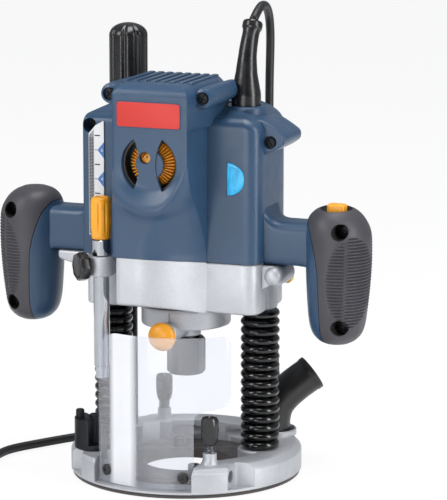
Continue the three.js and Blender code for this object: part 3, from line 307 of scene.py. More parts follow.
def rings_along(route, radius_at, count):
    """Rings square to a route, without twist; radius_at gives the radius for the share of the length."""
    rings = []
    ahead = (route[1] - route[0]).normalized()
    side = ahead.orthogonal().normalized()
    for i, spot in enumerate(route):
        step = route[min(i + 1, len(route) - 1)] - route[max(i - 1, 0)]
        turn = ahead.rotation_difference(step.normalized())
        ahead = step.normalized()
        side = turn @ side
        other = ahead.cross(side)
        radius = radius_at(i / (len(route) - 1))
        rings.append([tuple(spot + side * radius * math.cos(2 * math.pi * k / count)
                            + other * radius * math.sin(2 * math.pi * k / count)) for k in range(count)])
    return rings


def eased(t):
    t = min(1.0, max(0.0, t))
    return t * t * (3 - 2 * t)


def between(t, table, smooth=False):
    """Reading of a table of (place, value), along straight lines or eased ones."""
    for (a, va), (b, vb) in zip(table, table[1:]):
        if t <= b:
            share = max(0.0, t - a) / (b - a)
            return va + (vb - va) * (eased(share) if smooth else share)
    return table[-1][1]


# ------------------------------------------------------------------ materials
def linear(colour):
    """Linear value of a colour written as a six-digit code."""
    values = [int(colour[i:i + 2], 16) / 255 for i in (0, 2, 4)]
    return tuple(v / 12.92 if v <= 0.04045 else ((v + 0.055) / 1.055) ** 2.4 for v in values) + (1.0,)


def feed(tree, socket, value):
    """Links an input to a node's output, or gives it a plain value."""
    if isinstance(value, bpy.types.NodeSocket):
        tree.links.new(value, socket)
    else:
        socket.default_value = value


def add_node(tree, kind, inputs=None, **settings):
    node = tree.nodes.new(kind)
    for key, value in settings.items():
        setattr(node, key, value)
    for key, value in (inputs or {}).items():
        feed(tree, node.inputs[key], value)
    return node


class Tree:
    """Short way to build a material's nodes."""

    def __init__(self, name):
        self.material = bpy.data.materials.new(name)
        self.material.use_nodes = True
        self.tree = self.material.node_tree
        self.shader = self.tree.nodes["Principled BSDF"]
        self.place = self.add("ShaderNodeTexCoord").outputs["Object"]

    def add(self, kind, inputs=None, **settings):
        return add_node(self.tree, kind, inputs, **settings)

    def noise(self, scale, detail=3.0, stretch=None, roughness=0.55):
        place = self.place
        if stretch:
            place = self.add("ShaderNodeMapping", {"Vector": place, "Scale": stretch}).outputs[0]
        return self.add("ShaderNodeTexNoise", {"Vector": place, "Scale": scale, "Detail": detail,
                                               "Roughness": roughness}).outputs["Fac"]

    def spread(self, value, low, high, start=0.3, end=0.7):
        return self.add("ShaderNodeMapRange", {"Value": value, "From Min": start, "From Max": end,
                                               "To Min": low, "To Max": high}).outputs[0]

    def mix(self, share, first, second):
        return self.add("ShaderNodeMix", {0: share, 6: first, 7: second}, data_type="RGBA").outputs[2]

    def bump(self, height, depth, after=None):
        inputs = {"Height": height, "Strength": 1.0, "Distance": depth * MM}
        if after:
            inputs["Normal"] = after
        return self.add("ShaderNodeBump", inputs).outputs[0]

    def set(self, **sockets):
        for key, value in sockets.items():
            feed(self.tree, self.shader.inputs[key.replace("_", " ")], value)

    def blend(self, share, first, second):
        """Shows a mix of two shaders in place of the plain one."""
        mixed = self.add("ShaderNodeMixShader", {0: share, 1: first, 2: second}).outputs[0]
        self.tree.links.new(mixed, self.tree.nodes["Material Output"].inputs["Surface"])


def shifted(colour, factor):
    return tuple(min(1.0, c * factor) for c in colour[:3]) + (1.0,)


def surface(name, colour, roughness, metal=0.0, grain=900.0, depth=0.02, mottle=0.12, spread=0.08,
            scratches=0.0, speckle=0.0, specular=0.5, coat=0.0):
    """Solid finish with mottling, a fine grain in the relief, and uneven gloss."""
    tree = Tree(name)
    base = linear(colour)
    broad = tree.noise(38, 4)
    fine = tree.noise(grain, 2)
    tone = tree.mix(tree.spread(broad, 0, 1), shifted(base, 1 - mottle), shifted(base, 1 + mottle))
    if speckle:
        tone = tree.mix(tree.spread(fine, 0, speckle, 0.42, 0.62), tone, shifted(base, 1.5))
    gloss = tree.spread(tree.noise(120, 5), roughness - spread, roughness + spread)
    relief = tree.bump(fine, depth)
    if scratches:
        marks = tree.noise(60, 2, stretch=(1, 1, 40))
        gloss = tree.add("ShaderNodeMath", {0: gloss, 1: tree.spread(marks, 0, scratches, 0.55, 0.75)},
                         operation="ADD").outputs[0]
        relief = tree.bump(marks, depth * 0.5, after=relief)
    tree.set(Base_Color=tone, Roughness=gloss, Metallic=metal, Normal=relief,
             Specular_IOR_Level=specular, Coat_Weight=coat)
    return tree.material


def lathe_finish(name, colour, roughness, rings=2600.0, spread=0.05):
    """Bright metal turned in a lathe: fine rings round the vertical axis and a few dull patches."""
    tree = Tree(name)
    base = linear(colour)
    cuts = tree.noise(1, 2, stretch=(4, 4, rings))
    dull = tree.noise(45, 5)
    tree.set(
        Base_Color=tree.mix(tree.spread(dull, 0, 1), shifted(base, 0.9), shifted(base, 1.06)),
        Roughness=tree.spread(dull, roughness - spread, roughness + spread),
        Metallic=1.0,
        Normal=tree.bump(cuts, 0.004),
    )
    return tree.material


CASTING = surface("blasted_casting", "adafb3", 0.5, metal=0.55, grain=1500, depth=0.03, mottle=0.06,
                  speckle=0.25)
CHROME = lathe_finish("chromed_rod", "a4a7ac", 0.12, rings=1200, spread=0.03)
STEEL = surface("plain_steel", "75787c", 0.32, metal=1.0, grain=700, depth=0.01, scratches=0.1)
THREADED = surface("oiled_thread", "2a2a2c", 0.3, metal=0.8, grain=900, depth=0.01)
BLUE = surface("blue_housing", "28415b", 0.35, grain=2300, depth=0.035, mottle=0.05, spread=0.05,
               specular=0.45)
RUBBER = surface("grip_rubber", "3c3b40", 0.47, grain=1900, depth=0.05, mottle=0.1, spread=0.06,
                 specular=0.35)
BLACK = surface("black_moulding", "0c0c0e", 0.36, grain=1600, depth=0.012, mottle=0.2, spread=0.07)
KNOB = surface("black_knob", "101012", 0.28, grain=1400, depth=0.006, mottle=0.2, spread=0.05)
BELLOWS = surface("bellows_rubber", "050506", 0.15, grain=700, depth=0.03, mottle=0.2, spread=0.05)
DARK_STEEL = surface("blacked_steel", "1f2124", 0.45, metal=0.75, grain=1100, depth=0.025, mottle=0.18,
                     speckle=0.1)
SOLE = surface("slide_plate_laminate", "3a3433", 0.38, grain=800, depth=0.02, mottle=0.15, scratches=0.12)
ORANGE = surface("orange_control", "e2981b", 0.38, grain=1300, depth=0.02, mottle=0.06, spread=0.06)
# Darker orange for the dial cone between the teeth: painted shade in the gaps.
GAP_SHADE_ORANGE = surface("orange_painted_gap_shade", "bd6c0d", 0.5, grain=1300, depth=0.02, mottle=0.1)
YELLOW = surface("yellow_lever", "c2a235", 0.42, grain=1300, depth=0.02, mottle=0.08)
RED = surface("red_badge", "b81c0d", 0.46, grain=1800, depth=0.008, mottle=0.03, spread=0.04)
WHITE = surface("printed_white", "cdced0", 0.5, grain=1500, depth=0.006, mottle=0.03)
INK = surface("printed_black", "17171a", 0.5, grain=1500, depth=0.004, mottle=0.1)
GREY_INK = surface("printed_grey", "8d8f92", 0.5, grain=1500, depth=0.004, mottle=0.1)
BLUE_INK = surface("printed_blue", "2c64a4", 0.45, grain=1500, depth=0.004, mottle=0.06)
COPPER = surface("copper_winding", "a9653a", 0.35, metal=0.9, grain=600, depth=0.05, mottle=0.2)
BOARD = surface("circuit_board", "245c38", 0.5, grain=500, depth=0.03, mottle=0.2)
BRASS = lathe_finish("plug_pin", "cbb98a", 0.25)
CORD = surface("cord_sheath", "0f0f11", 0.45, grain=900, depth=0.03, mottle=0.15)
# Near-black painted shade for the walls inside the grip's screw recesses.
RECESS_PAINTED_SHADE = surface("painted_recess_shade", "08080a", 0.8, grain=500, depth=0.02)


def clear_plastic():
    """Clear sheet with a thin haze and a painted upright glare band."""
    tree = Tree("clear_shield_sheet")
    haze = tree.noise(30, 3, stretch=(1, 1, 0.25))
    scuffs = tree.noise(500, 2, stretch=(1, 1, 0.3))
    tree.set(
        Base_Color=linear("f4f5f8"), Metallic=0.0, Specular_IOR_Level=0.7,
        Roughness=tree.spread(scuffs, 0.06, 0.16),
        Normal=tree.bump(scuffs, 0.004),
    )
    see_through = tree.add("ShaderNodeBsdfTransparent", {"Color": linear("f3f4f8")}).outputs[0]
    # A band across the sheet, fixed by its X, turns more opaque white: a painted glare band, added to the
    # haze.
    along = tree.add("ShaderNodeSeparateXYZ", {0: tree.place}).outputs["X"]
    rise = tree.spread(along, 0, 0.5, -0.031, -0.026)
    fall = tree.spread(along, 0, 0.5, -0.0125, -0.0065)
    band = tree.add("ShaderNodeMath", {0: rise, 1: fall}, operation="SUBTRACT").outputs[0]
    haze_and_painted_glare = tree.add("ShaderNodeMath", {0: tree.spread(haze, 0.08, 0.16), 1: band}, operation="ADD").outputs[0]
    tree.blend(haze_and_painted_glare, see_through, tree.shader.outputs[0])
    return tree.material


def painted_glow_lens():
    """Cyan window with a painted glow, brighter in streaks."""
    tree = Tree("painted_glow_lens")
    streaks = tree.noise(160, 3, stretch=(1, 1, 0.4))
    tone = tree.mix(tree.spread(streaks, 0, 1, 0.4, 0.65), linear("0087b8"), linear("12a6d8"))
    # The emission is a painted glow; no lamp lights the lens.
    tree.set(Base_Color=tone, Roughness=tree.spread(tree.noise(400), 0.15, 0.3), Emission_Color=tone,
             Emission_Strength=0.3, Normal=tree.bump(streaks, 0.05))
    return tree.material


CLEAR = clear_plastic()
LENS = painted_glow_lens()


# ------------------------------------------------------------------ repeated pieces
class Pattern:
    """Geometry node group with one input for its material and more named inputs as they are asked for."""

    def __init__(self, name):
        self.group = bpy.data.node_groups.new(name, "GeometryNodeTree")
        self.group.interface.new_socket("Geometry", in_out="OUTPUT", socket_type="NodeSocketGeometry")
        self.values = {}
        self.entry = self.add("NodeGroupInput")
        self.exit = self.add("NodeGroupOutput")

    def ask(self, name, kind, value):
        socket = self.group.interface.new_socket(name, in_out="INPUT", socket_type="NodeSocket" + kind)
        self.values[socket.identifier] = value
        return self.entry.outputs[name]

    def add(self, kind, inputs=None, **settings):
        return add_node(self.group, kind, inputs, **settings)

    def made(self, name, result, material):
        """Ends the tree and returns what it makes as a plain mesh object."""
        real = self.add("GeometryNodeRealizeInstances", {"Geometry": result}).outputs[0]
        finish = self.ask("Material", "Material", material)
        coated = self.add("GeometryNodeSetMaterial", {"Geometry": real, "Material": finish}).outputs[0]
        self.group.links.new(coated, self.exit.inputs[0])
        holder = shown(name, bpy.data.meshes.new(name))
        step = holder.modifiers.new("pattern", "NODES")
        step.node_group = self.group
        for key, value in self.values.items():
            step[key] = value
        mesh = live_copy(holder)
        bpy.data.objects.remove(holder)
        return shown(name, mesh)


def row_of(name, unit, count, material, step=(0, 0, 0), start=(0, 0, 0), turn_step=(0.0, 0.0, 0.0)):
    """Copies of one piece in a straight row, or round an axis through the start by the turn given."""
    pattern = Pattern(name + "_pattern")
    number = pattern.ask("Count", "Int", count)
    source = pattern.ask("Unit", "Object", unit)
    shape = pattern.add("GeometryNodeObjectInfo", {"Object": source}).outputs["Geometry"]
    first = pattern.ask("Start", "Vector", in_metres(start))
    pitch = pattern.ask("Step", "Vector", in_metres(step))
    line = pattern.add("GeometryNodeMeshLine", {"Count": number, "Start Location": first, "Offset": pitch},
                       mode="OFFSET").outputs[0]
    index = pattern.add("GeometryNodeInputIndex").outputs[0]
    turn = pattern.add("ShaderNodeVectorMath",
                       {0: pattern.ask("Turn", "Vector", turn_step), "Scale": index}, operation="SCALE")
    copies = pattern.add("GeometryNodeInstanceOnPoints",
                         {"Points": line, "Instance": shape, "Rotation": turn.outputs[0]}).outputs[0]
    piece = pattern.made(name, copies, material)
    bpy.data.objects.remove(unit)
    return piece


def coil_spring(name, radius, wire, low, high, turns, at, material):
    """Round wire wound along an upright axis."""
    pattern = Pattern(name + "_pattern")
    inputs = {
        "Resolution": 20,
        "Rotations": pattern.ask("Turns", "Float", float(turns)),
        "Start Radius": pattern.ask("Radius", "Float", radius * MM),
        "End Radius": radius * MM,
        "Height": pattern.ask("Height", "Float", (high - low) * MM),
    }
    wound = pattern.add("GeometryNodeCurveSpiral", inputs).outputs[0]
    section = pattern.add("GeometryNodeCurvePrimitiveCircle",
                          {"Resolution": 10, "Radius": wire * MM}).outputs[0]
    swept = pattern.add("GeometryNodeCurveToMesh", {"Curve": wound, "Profile Curve": section,
                                                    "Fill Caps": True}).outputs[0]
    foot = in_metres((at[0], at[1], low))
    placed = pattern.add("GeometryNodeTransform", {"Geometry": swept, "Translation": foot}).outputs[0]
    return pattern.made(name, placed, material)


# ------------------------------------------------------------------ camera, stage and light
def make_camera():
    """Above the head and to the operator's right, with a long lens."""
    data = bpy.data.cameras.new("camera")
    data.lens = 220.9
    data.sensor_width = 36
    data.clip_end = 50
    camera = shown("camera", data)
    camera.location = (0.8241, -2.0398, 0.5895)
    camera.rotation_euler = (math.radians(90 - 10.927), 0, math.radians(21.2865))
    scene.camera = camera


def make_floor():
    """Pale plain floor that shows nearly white, with a faint contact shade."""
    tree = Tree("pale_floor")
    rays = tree.add("ShaderNodeLightPath")
    seen = tree.add("ShaderNodeMath", {0: rays.outputs["Is Camera Ray"], 1: 0.9}, operation="MULTIPLY")
    glow = tree.add("ShaderNodeEmission", {"Color": (1, 1, 1, 1), "Strength": 1.0}).outputs[0]
    tree.blend(seen.outputs[0], tree.shader.outputs[0], glow)
    tree.set(Base_Color=tree.mix(tree.noise(3), linear("f2f2f2"), linear("f6f6f6")), Roughness=0.8,
             Specular_IOR_Level=0.1)
    bpy.ops.mesh.primitive_plane_add(size=12, location=(0, 0, -0.0004))
    floor = bpy.context.object
    floor.name = "floor"
    painted(floor, tree.material)


def softbox(name, place, size, power, aim_height=0.2):
    data = bpy.data.lights.new(name, "AREA")
    data.shape = "RECTANGLE"
    data.size, data.size_y = size
    data.energy = power
    light = shown(name, data)
    light.location = place
    aim = Vector((0, 0, aim_height)) - Vector(place)
    light.rotation_euler = aim.to_track_quat("-Z", "Y").to_euler()


def make_light():
    """Four soft boxes in a white room whose reflections dim towards the camera's side."""
    softbox("key_left", (-1.1, -1.3, 1.25), (0.7, 1.1), 20)
    softbox("strip_right", (1.25, -0.25, 0.55), (0.35, 1.3), 14)
    softbox("top", (0.1, 0.0, 1.5), (1.2, 0.55), 17)
    softbox("front_fill", (-0.15, -1.7, 0.24), (0.8, 0.4), 8, aim_height=0.14)
    world = bpy.data.worlds.new("studio")
    world.use_nodes = True
    scene.world = world
    tree = world.node_tree
    backdrop = tree.nodes["Background"]
    backdrop.inputs["Color"].default_value = (1, 1, 1, 1)
    backdrop.inputs["Strength"].default_value = 1.0
    glance = add_node(tree, "ShaderNodeTexCoord").outputs["Generated"]
    toward = add_node(tree, "ShaderNodeVectorMath", {0: glance, 1: (0.36, -0.93, 0.05)},
                      operation="DOT_PRODUCT").outputs["Value"]
    dimmed = add_node(tree, "ShaderNodeMapRange", {"Value": toward, "From Min": 0.72, "From Max": 0.94,
                                                   "To Min": 0.36, "To Max": 0.06},
                      interpolation_type="SMOOTHSTEP").outputs["Result"]
    ambient = add_node(tree, "ShaderNodeBackground", {"Color": (0.92, 0.95, 1, 1), "Strength": dimmed})
    direct = add_node(tree, "ShaderNodeLightPath").outputs["Is Camera Ray"]
    blend = add_node(tree, "ShaderNodeMixShader", {0: direct, 1: ambient.outputs[0], 2: backdrop.outputs[0]})
    tree.links.new(blend.outputs[0], tree.nodes["World Output"].inputs["Surface"])
    scene.view_settings.view_transform = "Standard"


# ------------------------------------------------------------------ mains lead
LEAD_POINTS = [
    (45.5, 18, 333.5), (45, 27, 338.2), (44.2, 38, 341.6), (43, 50, 340), (41.6, 60, 333),
    (40.5, 66, 322), (39.8, 68.3, 308), (39, 69, 280), (38.5, 70, 240), (38, 72, 200), (38, 75, 150),
    (38, 80, 100), (38, 86, 60), (37, 92, 35), (33, 97, 17), (22, 101, 6.5), (5, 102.8, 3.6),
    (-20, 102.8, 3.4), (-50, 96, 3.4), (-80, 78, 3.4), (-105, 50, 3.4), (-125, 20, 3.4),
    (-140, -8, 3.4), (-142.6, -34, 3.4),
]
LEAD_RADIUS = 3.2
COIL_CENTRE = (-188, -54)
COIL_LAST_TURN = 4.23
COIL_RADII = [(0.6, 42.4), (1.0, 35.9), (1.6, 35.9), (2.0, 29.4), (2.75, 29.4), (3.15, 35.9),
              (3.75, 35.9), (4.15, 42.4), (5.0, 42.4)]
COIL_LEVELS = [(2.2, 3.4), (2.6, 9.85), (5.0, 9.85)]
PLUG_NECK = (-234.3, -55.5, 9.4)


def coil_points():
    """Turns of the coil, clockwise from its right-hand side: inwards on the floor, then outwards on top."""
    points = []
    steps = 16
    for step in range(1, int(COIL_LAST_TURN * steps) + 1):
        turns = step / steps
        radius = between(turns, COIL_RADII, smooth=True)
        angle = -2 * math.pi * turns
        points.append((COIL_CENTRE[0] + radius * math.cos(angle), COIL_CENTRE[1] + radius * math.sin(angle),
                       between(turns, COIL_LEVELS, smooth=True)))
    return points


def way_to_plug(start):
    """Two equal bends, one after the other, from the coil's near side to the plug."""
    across, along = PLUG_NECK[1] - start[1], start[0] - PLUG_NECK[0]
    swing = 2 * math.atan2(across, along)
    bend = along / (2 * math.sin(swing))
    points = []
    for step in range(1, 6):
        angle = swing * step / 5
        points.append((start[0] - bend * math.sin(angle), start[1] + bend * (1 - math.cos(angle)), start[2]))
    for step in range(4, -1, -1):
        angle = swing * step / 5
        points.append((PLUG_NECK[0] + bend * math.sin(angle), PLUG_NECK[1] - bend * (1 - math.cos(angle)),
                       start[2] + (PLUG_NECK[2] - start[2]) * (1 - step / 5)))
    return points


def make_plug():
    """Moulded two-pin plug lying on its flat side."""
    neck, middle = PLUG_NECK[0], COIL_CENTRE[1]
    body = slab("plug", [(neck, middle - 4), (neck, middle + 4), (neck - 6, middle + 5, 3),
                         (neck - 16, middle + 13.9, 5), (neck - 38, middle + 13.9, 4),
                         (neck - 38, middle - 13.9, 4), (neck - 16, middle - 13.9, 5),
                         (neck - 6, middle - 5, 3)], 0.2, 17.9, edge=2.5)
    ribs = row_of("plug_grip", block("rib", (neck - 1.1, middle - 12, 17.4), (neck + 1.1, middle + 12, 18.0),
                                     edge=0.3), 5, BLACK, (-3.4, 0, 0), (-20, 0, 0))
    pins = [painted(rod("pin", 2.4, 0, 21, (neck - 36, middle + side * 9.5, 9), (-1, 0, 0), edge=0.8,
                        count=24), BRASS) for side in (-1, 1)]
    return fitted(gathered("plug_body", [painted(body, BLACK), ribs, *pins]), "base", "black_plastic", "plug")


def make_lead():
    plug = make_plug()
    coil = coil_points()
    route = flowing(LEAD_POINTS + coil + way_to_plug(coil[-1]), 2.5)
    lead = painted(skin("mains_lead", rings_along(route, lambda share: LEAD_RADIUS, 14)), CORD)
    lead.data.polygons.foreach_set("use_smooth", [True] * len(lead.data.polygons))
    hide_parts("cord", "cord_coil")
    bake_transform(lead)
    in_metres(route[0])
    [in_metres(spot) for spot in route]


def make_strain_relief():
    """Tapered sleeve with shallow bands, which leaves the head upright and leans back."""
    route = flowing([(45, 5, 266), (45, 5, 282), (45, 5.6, 298), (45.2, 8.6, 314), (45.5, 17.4, 332.2)], 0.7)
    taper = [(0, 10.7), (0.22, 10.7), (0.26, 10.3), (0.45, 7.9), (0.62, 6.7), (0.86, 6.1), (0.9, 6.3),
             (0.93, 7.3), (0.985, 7.3), (1.0, 6.6)]

    def radius(share):
        return between(share, taper)

    sleeve = skin("strain_relief_sleeve", rings_along(route, radius, 40))
    return fitted(painted(sleeve, KNOB), "head", "black_plastic", "strain_relief", crease=50)


# ------------------------------------------------------------------ base
BASE_TOP = 22
COLUMN_X = 58
SOLE_SCREW_OUT = 73
COLUMNS = [(sign * COLUMN_X, 0, 0) for _, sign in SIDES]
TURRET = (-54.5, -43.5, 0)
HEIGHT_ROD = (-58, 31, 0)
PORT = (52, 44, 0)
GUIDE_SCREWS = (("front", 41, -57), ("rear", -41, 57))


def make_base():
    low = 2.8
    guide_boss = [(6.6, 13.6), (6.6, 21.9), (5.6, 23.4), (5.1, 25.5), (5.1, 29.4), (4.6, 30)]
    casting = turned("base", [
        (62, low), (84.4, low), (85, low + 0.6), (85, 17), (84.6, 17.9), (81.1, 21.5), (80.2, BASE_TOP),
        (63.6, BASE_TOP), (62.5, 21.5), (62, 20.6)], count=192, looped=True)
    for x0, y0, x1, y1 in ((35, -76, 57, -47), (-57, -72, -42, -47), (-57, 47, -33, 72), (30, 47, 45, 72)):
        pad = common(block("rod_block", (x0, y0, low), (x1, y1, BASE_TOP - 0.2), edge=1.4),
                     rod("trim", 84.3, 0, 40, count=128))
        merged(casting, pad)
    bored(casting,
          block("window", (-42, -95, 4.5), (35, -46, 30)),
          slab("pocket", [(57, -47, 3), (57, -92), (92, -60), (74, -45.5, 5)], 5, 30),
          slab("pocket", [(-57, -47, 3), (-74, -45.5, 5), (-92, -60), (-57, -92)], 5, 30))
    merged(casting,
           *[rod("boss", 16.4, low, BASE_TOP, at, edge=1.2) for at in COLUMNS],
           rod("boss", 9.4, low, BASE_TOP, HEIGHT_ROD, edge=1),
           rod("boss", 9, low, BASE_TOP, TURRET, edge=1),
           *[turned("boss", guide_boss, (x, y, 0)) for _, x, y in GUIDE_SCREWS],
           tube("port_collar", 15.3, 17.4, BASE_TOP - 1, BASE_TOP + 4, PORT, edge=0.7))
    bored(casting,
          drill(4.6, -80, 80, (0, -57, 13.6), (1, 0, 0)),
          drill(4.6, -66, 48, (0, 57, 13.6), (1, 0, 0)),
          *[drill(3, 13.6, 31, (x, y, 0), count=32) for _, x, y in GUIDE_SCREWS],
          *[drill(7.8, 0, 30, at) for at in COLUMNS],
          drill(6.3, 0, 30, HEIGHT_ROD),
          drill(4.3, 8, 30, TURRET),
          drill(11, 10, 30, (PORT[0] - 2, PORT[1] - 2, 0)))
    painted(casting, CASTING)
    return fitted(casting, "base", "silver", "base_casting")


def make_slide_plate():
    plate = turned("sole", [
        (32, 0.5), (32.5, 0), (83.3, 0), (83.8, 0.5), (83.8, 2), (83.3, 2.5), (61, 2.5), (61, 7),
        (60.5, 7.5), (32.5, 7.5), (32, 7)], count=160, looped=True)
    bored(plate,
          *[drill(17.5, 2.5, 30, at) for at in COLUMNS],
          drill(10.5, 2.5, 30, HEIGHT_ROD),
          drill(10.5, 2.5, 30, TURRET),
          block("clear", (34, -80, 2.5), (58, -46, 30)), block("clear", (-58, -80, 2.5), (-41, -46, 30)),
          block("clear", (-58, 46, 2.5), (-32, 80, 30)), block("clear", (29, 46, 2.5), (46, 80, 30)))
    bushes = [painted(tube("guide_boss", 2, 4.5, 6.5, 14, (x, y, 0), count=32), SOLE)
              for x, y in ((-20, 35), (20, -35))]
    quarter = (0, 0, math.pi / 2)
    sinks = row_of("screw_sinks", turned("sink", [(0.01, -0.1), (3.6, -0.1), (2.4, 1.5), (0.01, 1.5)],
                                         (SOLE_SCREW_OUT, 0, 0), count=24),
                   4, SOLE, turn_step=quarter)
    bored(plate, sinks)
    heads = row_of("sole_screws", sole_screw(3.1, 1.2), 4, STEEL, turn_step=quarter)
    return fitted(gathered("slide_plate_sole", [painted(plate, SOLE), *bushes, heads]), "base",
                  "slide_plate", "slide_plate")


def sole_screw(radius, depth):
    """Countersunk head in the sole, to the right of its centre, with a cross in it from below."""
    profile = [(0.01, 0.25), (radius, 0.25), (radius, 0.4), (radius - 0.9, depth), (0.01, depth)]
    head = turned("sole_screw", profile, (SOLE_SCREW_OUT, 0, 0), count=24)
    long, narrow = 2, 0.35
    for x, y in ((long, narrow), (narrow, long)):
        bored(head, block("slot", (SOLE_SCREW_OUT - x, -y, 0), (SOLE_SCREW_OUT + x, y, 0.8)))
    return head


# ------------------------------------------------------------------ columns
BELLOWS_LOW, BELLOWS_HIGH = 22.3, 126.2
FOLDS = 16


def make_bellows(side, sign):
    """Sleeve of round folds round the column."""
    pitch = (BELLOWS_HIGH - BELLOWS_LOW) / FOLDS
    steps = 12
    profile = [(8.6, BELLOWS_HIGH), (8.6, BELLOWS_LOW)]
    for step in range(FOLDS * steps + 1):
        share = step / steps
        crest = abs(math.sin(math.pi * share)) ** 0.62
        profile.append((11.3 + 3.0 * crest, BELLOWS_LOW + pitch * share))
    sleeve = turned("bellows_sleeve_" + side, profile, (sign * COLUMN_X, 0, 0), count=64, looped=True)
    fitted(painted(sleeve, BELLOWS), "base", "bellows_black", "bellows_" + side, crease=60)
    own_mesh(sleeve)


def make_return_spring(side, sign):
    low, high = 30.4, 225.6
    spring = coil_spring("return_spring_coil_" + side, 3.95, 0.7, low + 0.7, high - 0.7, 40,
                         (sign * COLUMN_X, 0), STEEL)
    fitted(spring, "base", "steel", "return_spring_" + side, crease=60)
    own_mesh(spring)


def make_height_rod():
    """Threaded stud: the thread is one winding ridge from the base to its top."""
    low, high, radius, depth, pitch, count = 2.8, 302.0, 6.0, 0.65, 1.6, 28
    rings = []
    steps = 4
    turns = int((high - low - 12) / pitch)
    for step in range(turns * steps + 1):
        ring = []
        for i in range(count):
            share = i / count
            phase = (step / steps - share) % 1
            reach = radius - depth * abs(2 * phase - 1)
            angle = 2 * math.pi * share
            ring.append((HEIGHT_ROD[0] + reach * math.cos(angle), HEIGHT_ROD[1] + reach * math.sin(angle),
                         low + 10 + step * pitch / steps))
        rings.append(ring)
    ends = [(radius - depth - 0.3, low), (radius - depth, low + 0.3), (radius - depth, low + 9.6)]
    stub = [[(*polar(r, 2 * math.pi * i / count, HEIGHT_ROD), z) for i in range(count)] for r, z in ends]
    stud = skin("height_stud", stub + rings)
    return fitted(painted(stud, THREADED), "base", "black_steel", "height_rod", crease=40)


def fluting(count, depth):
    return lambda angle, height: 1 - depth * max(0.0, math.cos(count * angle)) ** 2


def make_height_knob():
    low, high, radius, dome = 274, 326, 14.2, 9
    profile = [(6.4, low), (radius - 0.8, low), (radius, low + 0.8)]
    profile += [(radius, low + 0.8 + step * (high - dome - low - 0.8) / 20) for step in range(1, 21)]
    profile += [(radius * math.cos(t * math.pi / 2), high - dome + dome * math.sin(t * math.pi / 2))
                for t in (step / 14 for step in range(1, 14))]
    profile += [(0.01, high), (0.01, 302.4), (6.4, 302.4)]
    flutes = fluting(9, 0.1)

    def wave(angle, height):
        return flutes(angle, height) if height < high - 1 else 1

    knob = turned("height_grip_knob", profile, HEIGHT_ROD, count=9 * 16, looped=True, wave=wave)
    knob = bored(knob, drill(6.3, low - 5, 302.3, HEIGHT_ROD))
    return fitted(painted(knob, KNOB), "height_knob", "black_plastic", "height_knob", crease=50)


# ------------------------------------------------------------------ turret, guide screws, shield, dust port
def make_turret():
    """Three steps round a hub, each a sector of the same round foot."""
    foot = 22.3
    steps = [rod("turret", 15, foot, 26, TURRET, edge=0.6, count=96)]
    for start, end, top in ((10, 75, 33), (75, 140, 39), (140, 275, 45)):
        corners = [TURRET[:2]] + [polar(14.95, math.radians(start + (end - start) * i / 24), TURRET)
                                  for i in range(25)]
        steps.append(slab("step", corners, foot + 0.1, top, edge=0.7))
    post = (*polar(10.8, math.radians(206), TURRET), 0)
    turret = merged(steps[0], *steps[1:], rod("hub", 4.2, foot, 47, TURRET, edge=0.6),
                    rod("pin", 4, 10, foot + 1, TURRET), rod("post", 3.1, 43, 51, post, edge=0.8))
    bored(turret, block("slot", (TURRET[0] - 5, TURRET[1] - 0.5, 45.8), (TURRET[0] + 5, TURRET[1] + 0.5, 48)))
    return fitted(painted(turret, DARK_STEEL), "turret", "black_steel", "depth_turret")


def make_guide_screw(name, x, y):
    """Wing-headed screw with a dished top, held by a spring on its boss."""
    head = turned(name, [(0.01, 36), (4.2, 36), (5.4, 38), (6.2, 42), (6.4, 49), (6.3, 54), (5.4, 55.8),
                         (4.4, 56), (3.2, 54.8), (0.01, 53.6)], (x, y, 0), count=48)
    common(head, slab("wing", oblong(x - 7, y - 4.4, x + 7, y + 4.4, 2), 35, 57, edge=0.5))
    shank = rod("shank", 2.65, 18.6, 36.2, (x, y, 0), edge=0.4, count=28)
    spring = coil_spring("spring", 3.7, 0.45, 30.6, 35.5, 3.5, (x, y), STEEL)
    screw = gathered(name + "_wing", [painted(head, KNOB), painted(shank, STEEL), spring])
    return fitted(screw, name, "black_plastic", name)


SHIELD_RADIUS = 77
SHIELD_WALL = 1.8


def bent_sheet(name, outline, inner, wall, step=2.0):
    """Flat outline in (arc length, height) bent round the upright axis; arc length 0 is at the front."""
    sheet = slab(name, outline, 0, wall, plane="XZ", edge=0.35, segments=2)
    form = bmesh.new()
    form.from_mesh(sheet.data)
    low, high = min(p[0] for p in outline), max(p[0] for p in outline)
    for i in range(1, int((high - low) / step)):
        bmesh.ops.bisect_plane(form, geom=form.verts[:] + form.edges[:] + form.faces[:],
                               plane_co=((low + i * step) * MM, 0, 0), plane_no=(1, 0, 0))
    for vertex in form.verts:
        length, out, height = vertex.co / MM
        angle = length / (inner + wall)
        reach = inner + out
        vertex.co = Vector((reach * math.sin(angle), -reach * math.cos(angle), height)) * MM
    bmesh.ops.recalc_face_normals(form, faces=form.faces)
    form.to_mesh(sheet.data)
    form.free()
    return sheet


